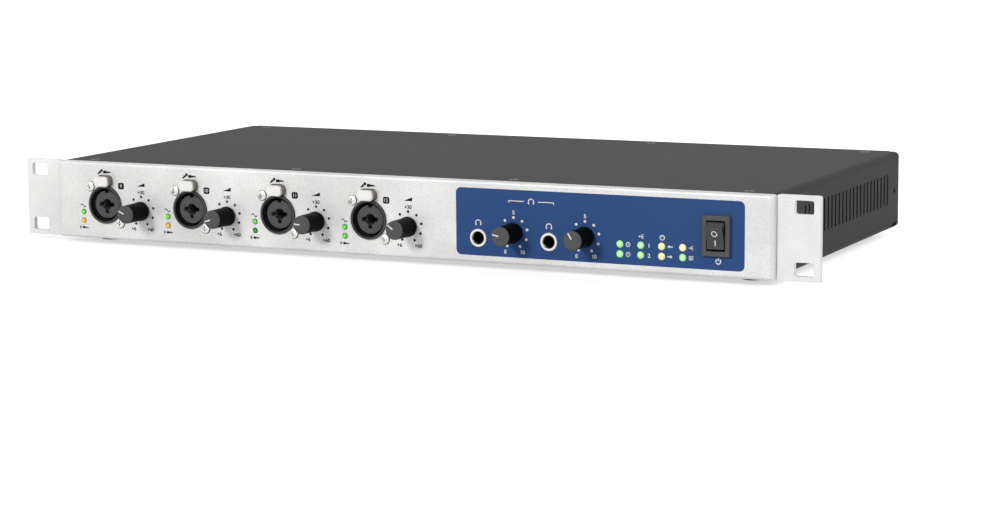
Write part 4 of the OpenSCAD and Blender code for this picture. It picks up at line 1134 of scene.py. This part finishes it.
MAINS_SIGNS = ((bolt, -3.4, 15.6, 3.2), (wave, 2.2, 15.6, 2.1), (wave, 0, -14.6, 1.8))
CONTROL_SIGNS = tuple(
    ((five_pins, -2.4, 13.2, 3.2), (sign, 2.2, 13.2, 3), (number(digit), 0, -12, 2.4))
    for sign, digit in ((arrow_in, "1"), (arrow_out, "2")))
BUTTON_SIGNS = ((power, 0, 6.6, 2.6), (clock, 0, -6.4, 2.6))
DIGITAL_SIGNS = {
    name: ((three_pins, -2.4, ROW_HIGH, 3.2), (sign, 2.4, ROW_HIGH, 3),
           (number(digit), 0, 4.3, 2.4))
    for name, sign, digit in (("digital_out", arrow_out, "2"), ("digital_in", arrow_in, "1"))}


def ends_of_row(node, wide):
    """Where the first and the last socket of a node stand on the rear, each this wide."""
    low, high = face_box(REAR, node)
    return low.x + wide / 2, high.x - wide / 2


class INTERFACE_OT_line_marks(bpy.types.Operator):
    """Print the numbers, dividing lines and signs of the sixteen line sockets"""

    bl_idname = "interface.line_marks"
    bl_label = "Marks of the line sockets"

    def execute(self, context):
        white = Marks(REAR, bold=1.2)
        black = Marks(REAR)
        jacks = mounts_like("line_jack", REAR)
        panel = face_box(REAR, "rear_panel")[1]
        for k, jack in enumerate(jacks):
            column, row = divmod(k % 8, 2)
            digit = str(8 - 2 * column - row)
            white.text(digit, jack.x + DIGIT_RIGHT, jack.y + DIGIT_UP, DIGIT_HIGH,
                       stretch=1.25, weight=0.01)
            black.ring(jack.x, jack.y, 4.85, 0.5)
        for first, sign, way in ((jacks[0], arrow_out, 1), (jacks[8], arrow_in, -1)):
            divider = first.x - DIVIDER_LEFT
            white.stroke([(divider, DIVIDER_LOW), (divider, panel.y - DIVIDER_GAP)],
                         DIVIDER_WIDE)
            middle = first.x + BRACKET_MIDDLE
            wave(white, middle - way * 3, BRACKET_LINE, 2.1)
            sign(white, middle + way * 2.8, BRACKET_LINE, 3.2)
            for side in (-1, 1):
                end = middle + side * BRACKET_END
                white.stroke([(middle + side * BRACKET_START, BRACKET_LINE),
                              (end, BRACKET_LINE), (end, BRACKET_LINE + 1.2)], LINE_WIDE)
        start, end = jacks[-1].x + OUTLINE_LEFT, panel.x - OUTLINE_GAP
        white.stroke([(end, OUTLINE_HIGH), (start, OUTLINE_HIGH), (start, OUTLINE_LOW),
                      (end, OUTLINE_LOW)], LINE_WIDE)
        white.piece("line_socket_marks", "white_ink")
        black.piece("line_socket_outlines", "black_ink")
        return {"FINISHED"}


class INTERFACE_OT_socket_marks(bpy.types.Operator):
    """Print the signs of the mains, control, data, optical, coaxial and digital sockets"""

    bl_idname = "interface.socket_marks"
    bl_label = "Signs of the other rear sockets"

    def execute(self, context):
        white = Marks(REAR, bold=1.25)
        inlet = middle_on(REAR, "mains_inlet")
        place_signs(white, inlet.x, inlet.y, MAINS_SIGNS)
        collar_y = mounts_like("five_hole_sockets", REAR)[0].y
        collars = ends_of_row("midi_sockets", 2 * (COLLAR + COLLAR_RIM))
        for x, rows in zip(collars, CONTROL_SIGNS):
            place_signs(white, x, collar_y, rows)
        button = middle_on(REAR, "mode_button")
        place_signs(white, button.x, button.y, BUTTON_SIGNS)
        for node in ("usb_b_socket", "usb_a_socket"):
            square_plug(white, middle_on(REAR, node).x, ROW_LOW, 2.8)
        first, last = ends_of_row("optical_housings", OPTICAL_WIDE)
        y = middle_on(REAR, "optical_housings").y
        for k in range(4):
            x = first + (last - first) * k / 3
            (arrow_in if k % 2 else arrow_out)(white, x + 1.4, y + OPTICAL_SIGNS_UP, 2.4)
            white.text(str(k // 2 + 1), x - 2, y + OPTICAL_SIGNS_UP, 2, weight=BOLD)
            white.dot(x + 6.5, y - 5.6, 0.38, 12)
        light_beam(white, first - 9.2, 30.9, 4)
        first, last = ends_of_row("coax_sockets", BARREL_WIDE)
        for sign, x in ((clock, (first + last) / 2), (arrow_in, first), (arrow_out, last)):
            sign(white, x, ROW_COAX, 3)
        for name, rows in DIGITAL_SIGNS.items():
            place_signs(white, mounts_like(name, REAR)[0].x, 0, rows)
        white.piece("socket_signs", "white_ink")
        return {"FINISHED"}


class INTERFACE_OT_socket_painted_light(bpy.types.Operator):
    """Line the bores of all jack sockets and edge their holes with black as painted shade, and rim
    the microphone sockets with grey as a painted highlight
    """

    bl_idname = "interface.socket_linings"
    bl_label = "Linings of the jack sockets"

    def execute(self, context):
        for face, name, piece in ((FRONT, "phones_jack", "phones"), (REAR, "line_jack", "line")):
            # Black tubes down the jack bores and black rings round their holes are painted shade.
            bore_shade = Marks(face, -5, 0.2)
            edge_shade = Marks(face, 0.61, 0.63)
            for jack in mounts_like(name, face):
                bore_shade.ring(jack.x, jack.y, JACK_BORE / 2 - BORE_SHADE_GAP, BORE_SHADE_WIDE, 40)
                edge_shade.ring(jack.x, jack.y, JACK_BORE / 2 + 0.18, 0.42, 40)
            bore_shade.piece(piece + "_linings", "black_ink")
            edge_shade.piece(piece + "_lips", "black_ink")
        front = on_face(FRONT, low_high("mic_socket_housings")[0]).z
        # A black tube down each microphone socket's bore is painted shade; the grey ring on its rim
        # is a painted highlight.
        bore_shade = Marks(FRONT, -1.4, front - 0.1)
        rim_highlight = Marks(FRONT, front - 0.02, front + 0.05)
        for socket in mounts_like("mic_jack", FRONT):
            bore_shade.ring(socket.x, socket.y, SOCKET_BORE / 2 - BORE_SHADE_GAP, BORE_SHADE_WIDE, 96)
            rim_highlight.ring(socket.x, socket.y, SOCKET_NOSE / 2 - 0.35, 0.4, 96)
        bore_shade.piece("mic_socket_linings", "black_ink")
        rim_highlight.piece("mic_socket_rims", "grey_plastic")
        return {"FINISHED"}


class INTERFACE_OT_socket_fittings(bpy.types.Operator):
    """Add the white collars, the contacts and the catch that show in the rear sockets"""

    bl_idname = "interface.socket_fittings"
    bl_label = "Fittings in the rear sockets"

    def execute(self, context):
        out = face_box(REAR, "midi_sockets")[1].z
        rings = Marks(REAR, out + 0.01, out + 0.12)
        collar_y = mounts_like("five_hole_sockets", REAR)[0].y
        for x in ends_of_row("midi_sockets", 2 * (COLLAR + COLLAR_RIM)):
            rings.ring(x, collar_y, COLLAR - 0.9, 1.7, 64)
        rings.piece("five_hole_socket_rings", "pale_plastic", slot="white_shell")

        low, high = face_box(REAR, "usb_a_socket")
        tongue = REAR @ Matrix.Translation(((low.x + high.x) / 2 - 0.3, 15, 0))
        contacts = Marks(tongue @ Matrix.Rotation(math.pi / 2, 4, "Y"), 0.0, 0.14)
        for k in range(4):
            contacts.shape(round_box(5.6, 2.5 * (k - 1.5), 8.6, 1.1, 0.3))
        contacts.piece("data_socket_contacts", "gold", slot="contact_brass")

        low, high = face_box(REAR, "coax_inserts")
        pins = Marks(REAR, high.z - 0.2, high.z + 0.1)
        for x in ends_of_row("coax_inserts", INSERT_WIDE):
            pins.ring(x, (low.y + high.y) / 2, 0.95, 0.5, 24)
        pins.piece("coax_contacts", "gold", slot="contact_brass")

        plug = mounts_like("digital_out", REAR)[0]
        catch = Marks(REAR, -9, -2.2)
        catch.shape(round_box(plug.x, plug.y + 8, 4.2, 1.5, 0.5))
        catch.piece("digital_out_catch", "nickel", slot="nickel")
        return {"FINISHED"}


# ---------- Panel ----------

STEPS = [
    INTERFACE_OT_stage, INTERFACE_OT_finishes, INTERFACE_OT_monitor_field,
    INTERFACE_OT_channel_marks, INTERFACE_OT_monitor_marks, INTERFACE_OT_knob_pointers,
    INTERFACE_OT_rocker_marks, INTERFACE_OT_line_marks, INTERFACE_OT_socket_marks,
    INTERFACE_OT_socket_painted_light, INTERFACE_OT_socket_fittings,
]


class INTERFACE_PT_panel(bpy.types.Panel):
    """Lists the settings and the steps"""

    bl_label = "Audio interface"
    bl_idname = "INTERFACE_PT_panel"
    bl_space_type = "VIEW_3D"
    bl_region_type = "UI"
    bl_category = "Audio interface"

    def draw(self, context):
        for name in InterfaceLooks.__annotations__:
            self.layout.prop(context.scene.interface_looks, name)
        for step in STEPS:
            self.layout.operator(step.bl_idname)


CLASSES = [InterfaceLooks, *STEPS, INTERFACE_PT_panel]


def register():
    for made in CLASSES:
        bpy.utils.register_class(made)
    bpy.types.Scene.interface_looks = PointerProperty(type=InterfaceLooks)


def unregister():
    del bpy.types.Scene.interface_looks
    for made in reversed(CLASSES):
        bpy.utils.unregister_class(made)


def main():
    """Registers the add-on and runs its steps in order."""
    register()
    for step in STEPS:
        group, name = step.bl_idname.split(".")
        getattr(getattr(bpy.ops, group), name)()


if __name__ == "__main__":
    main()
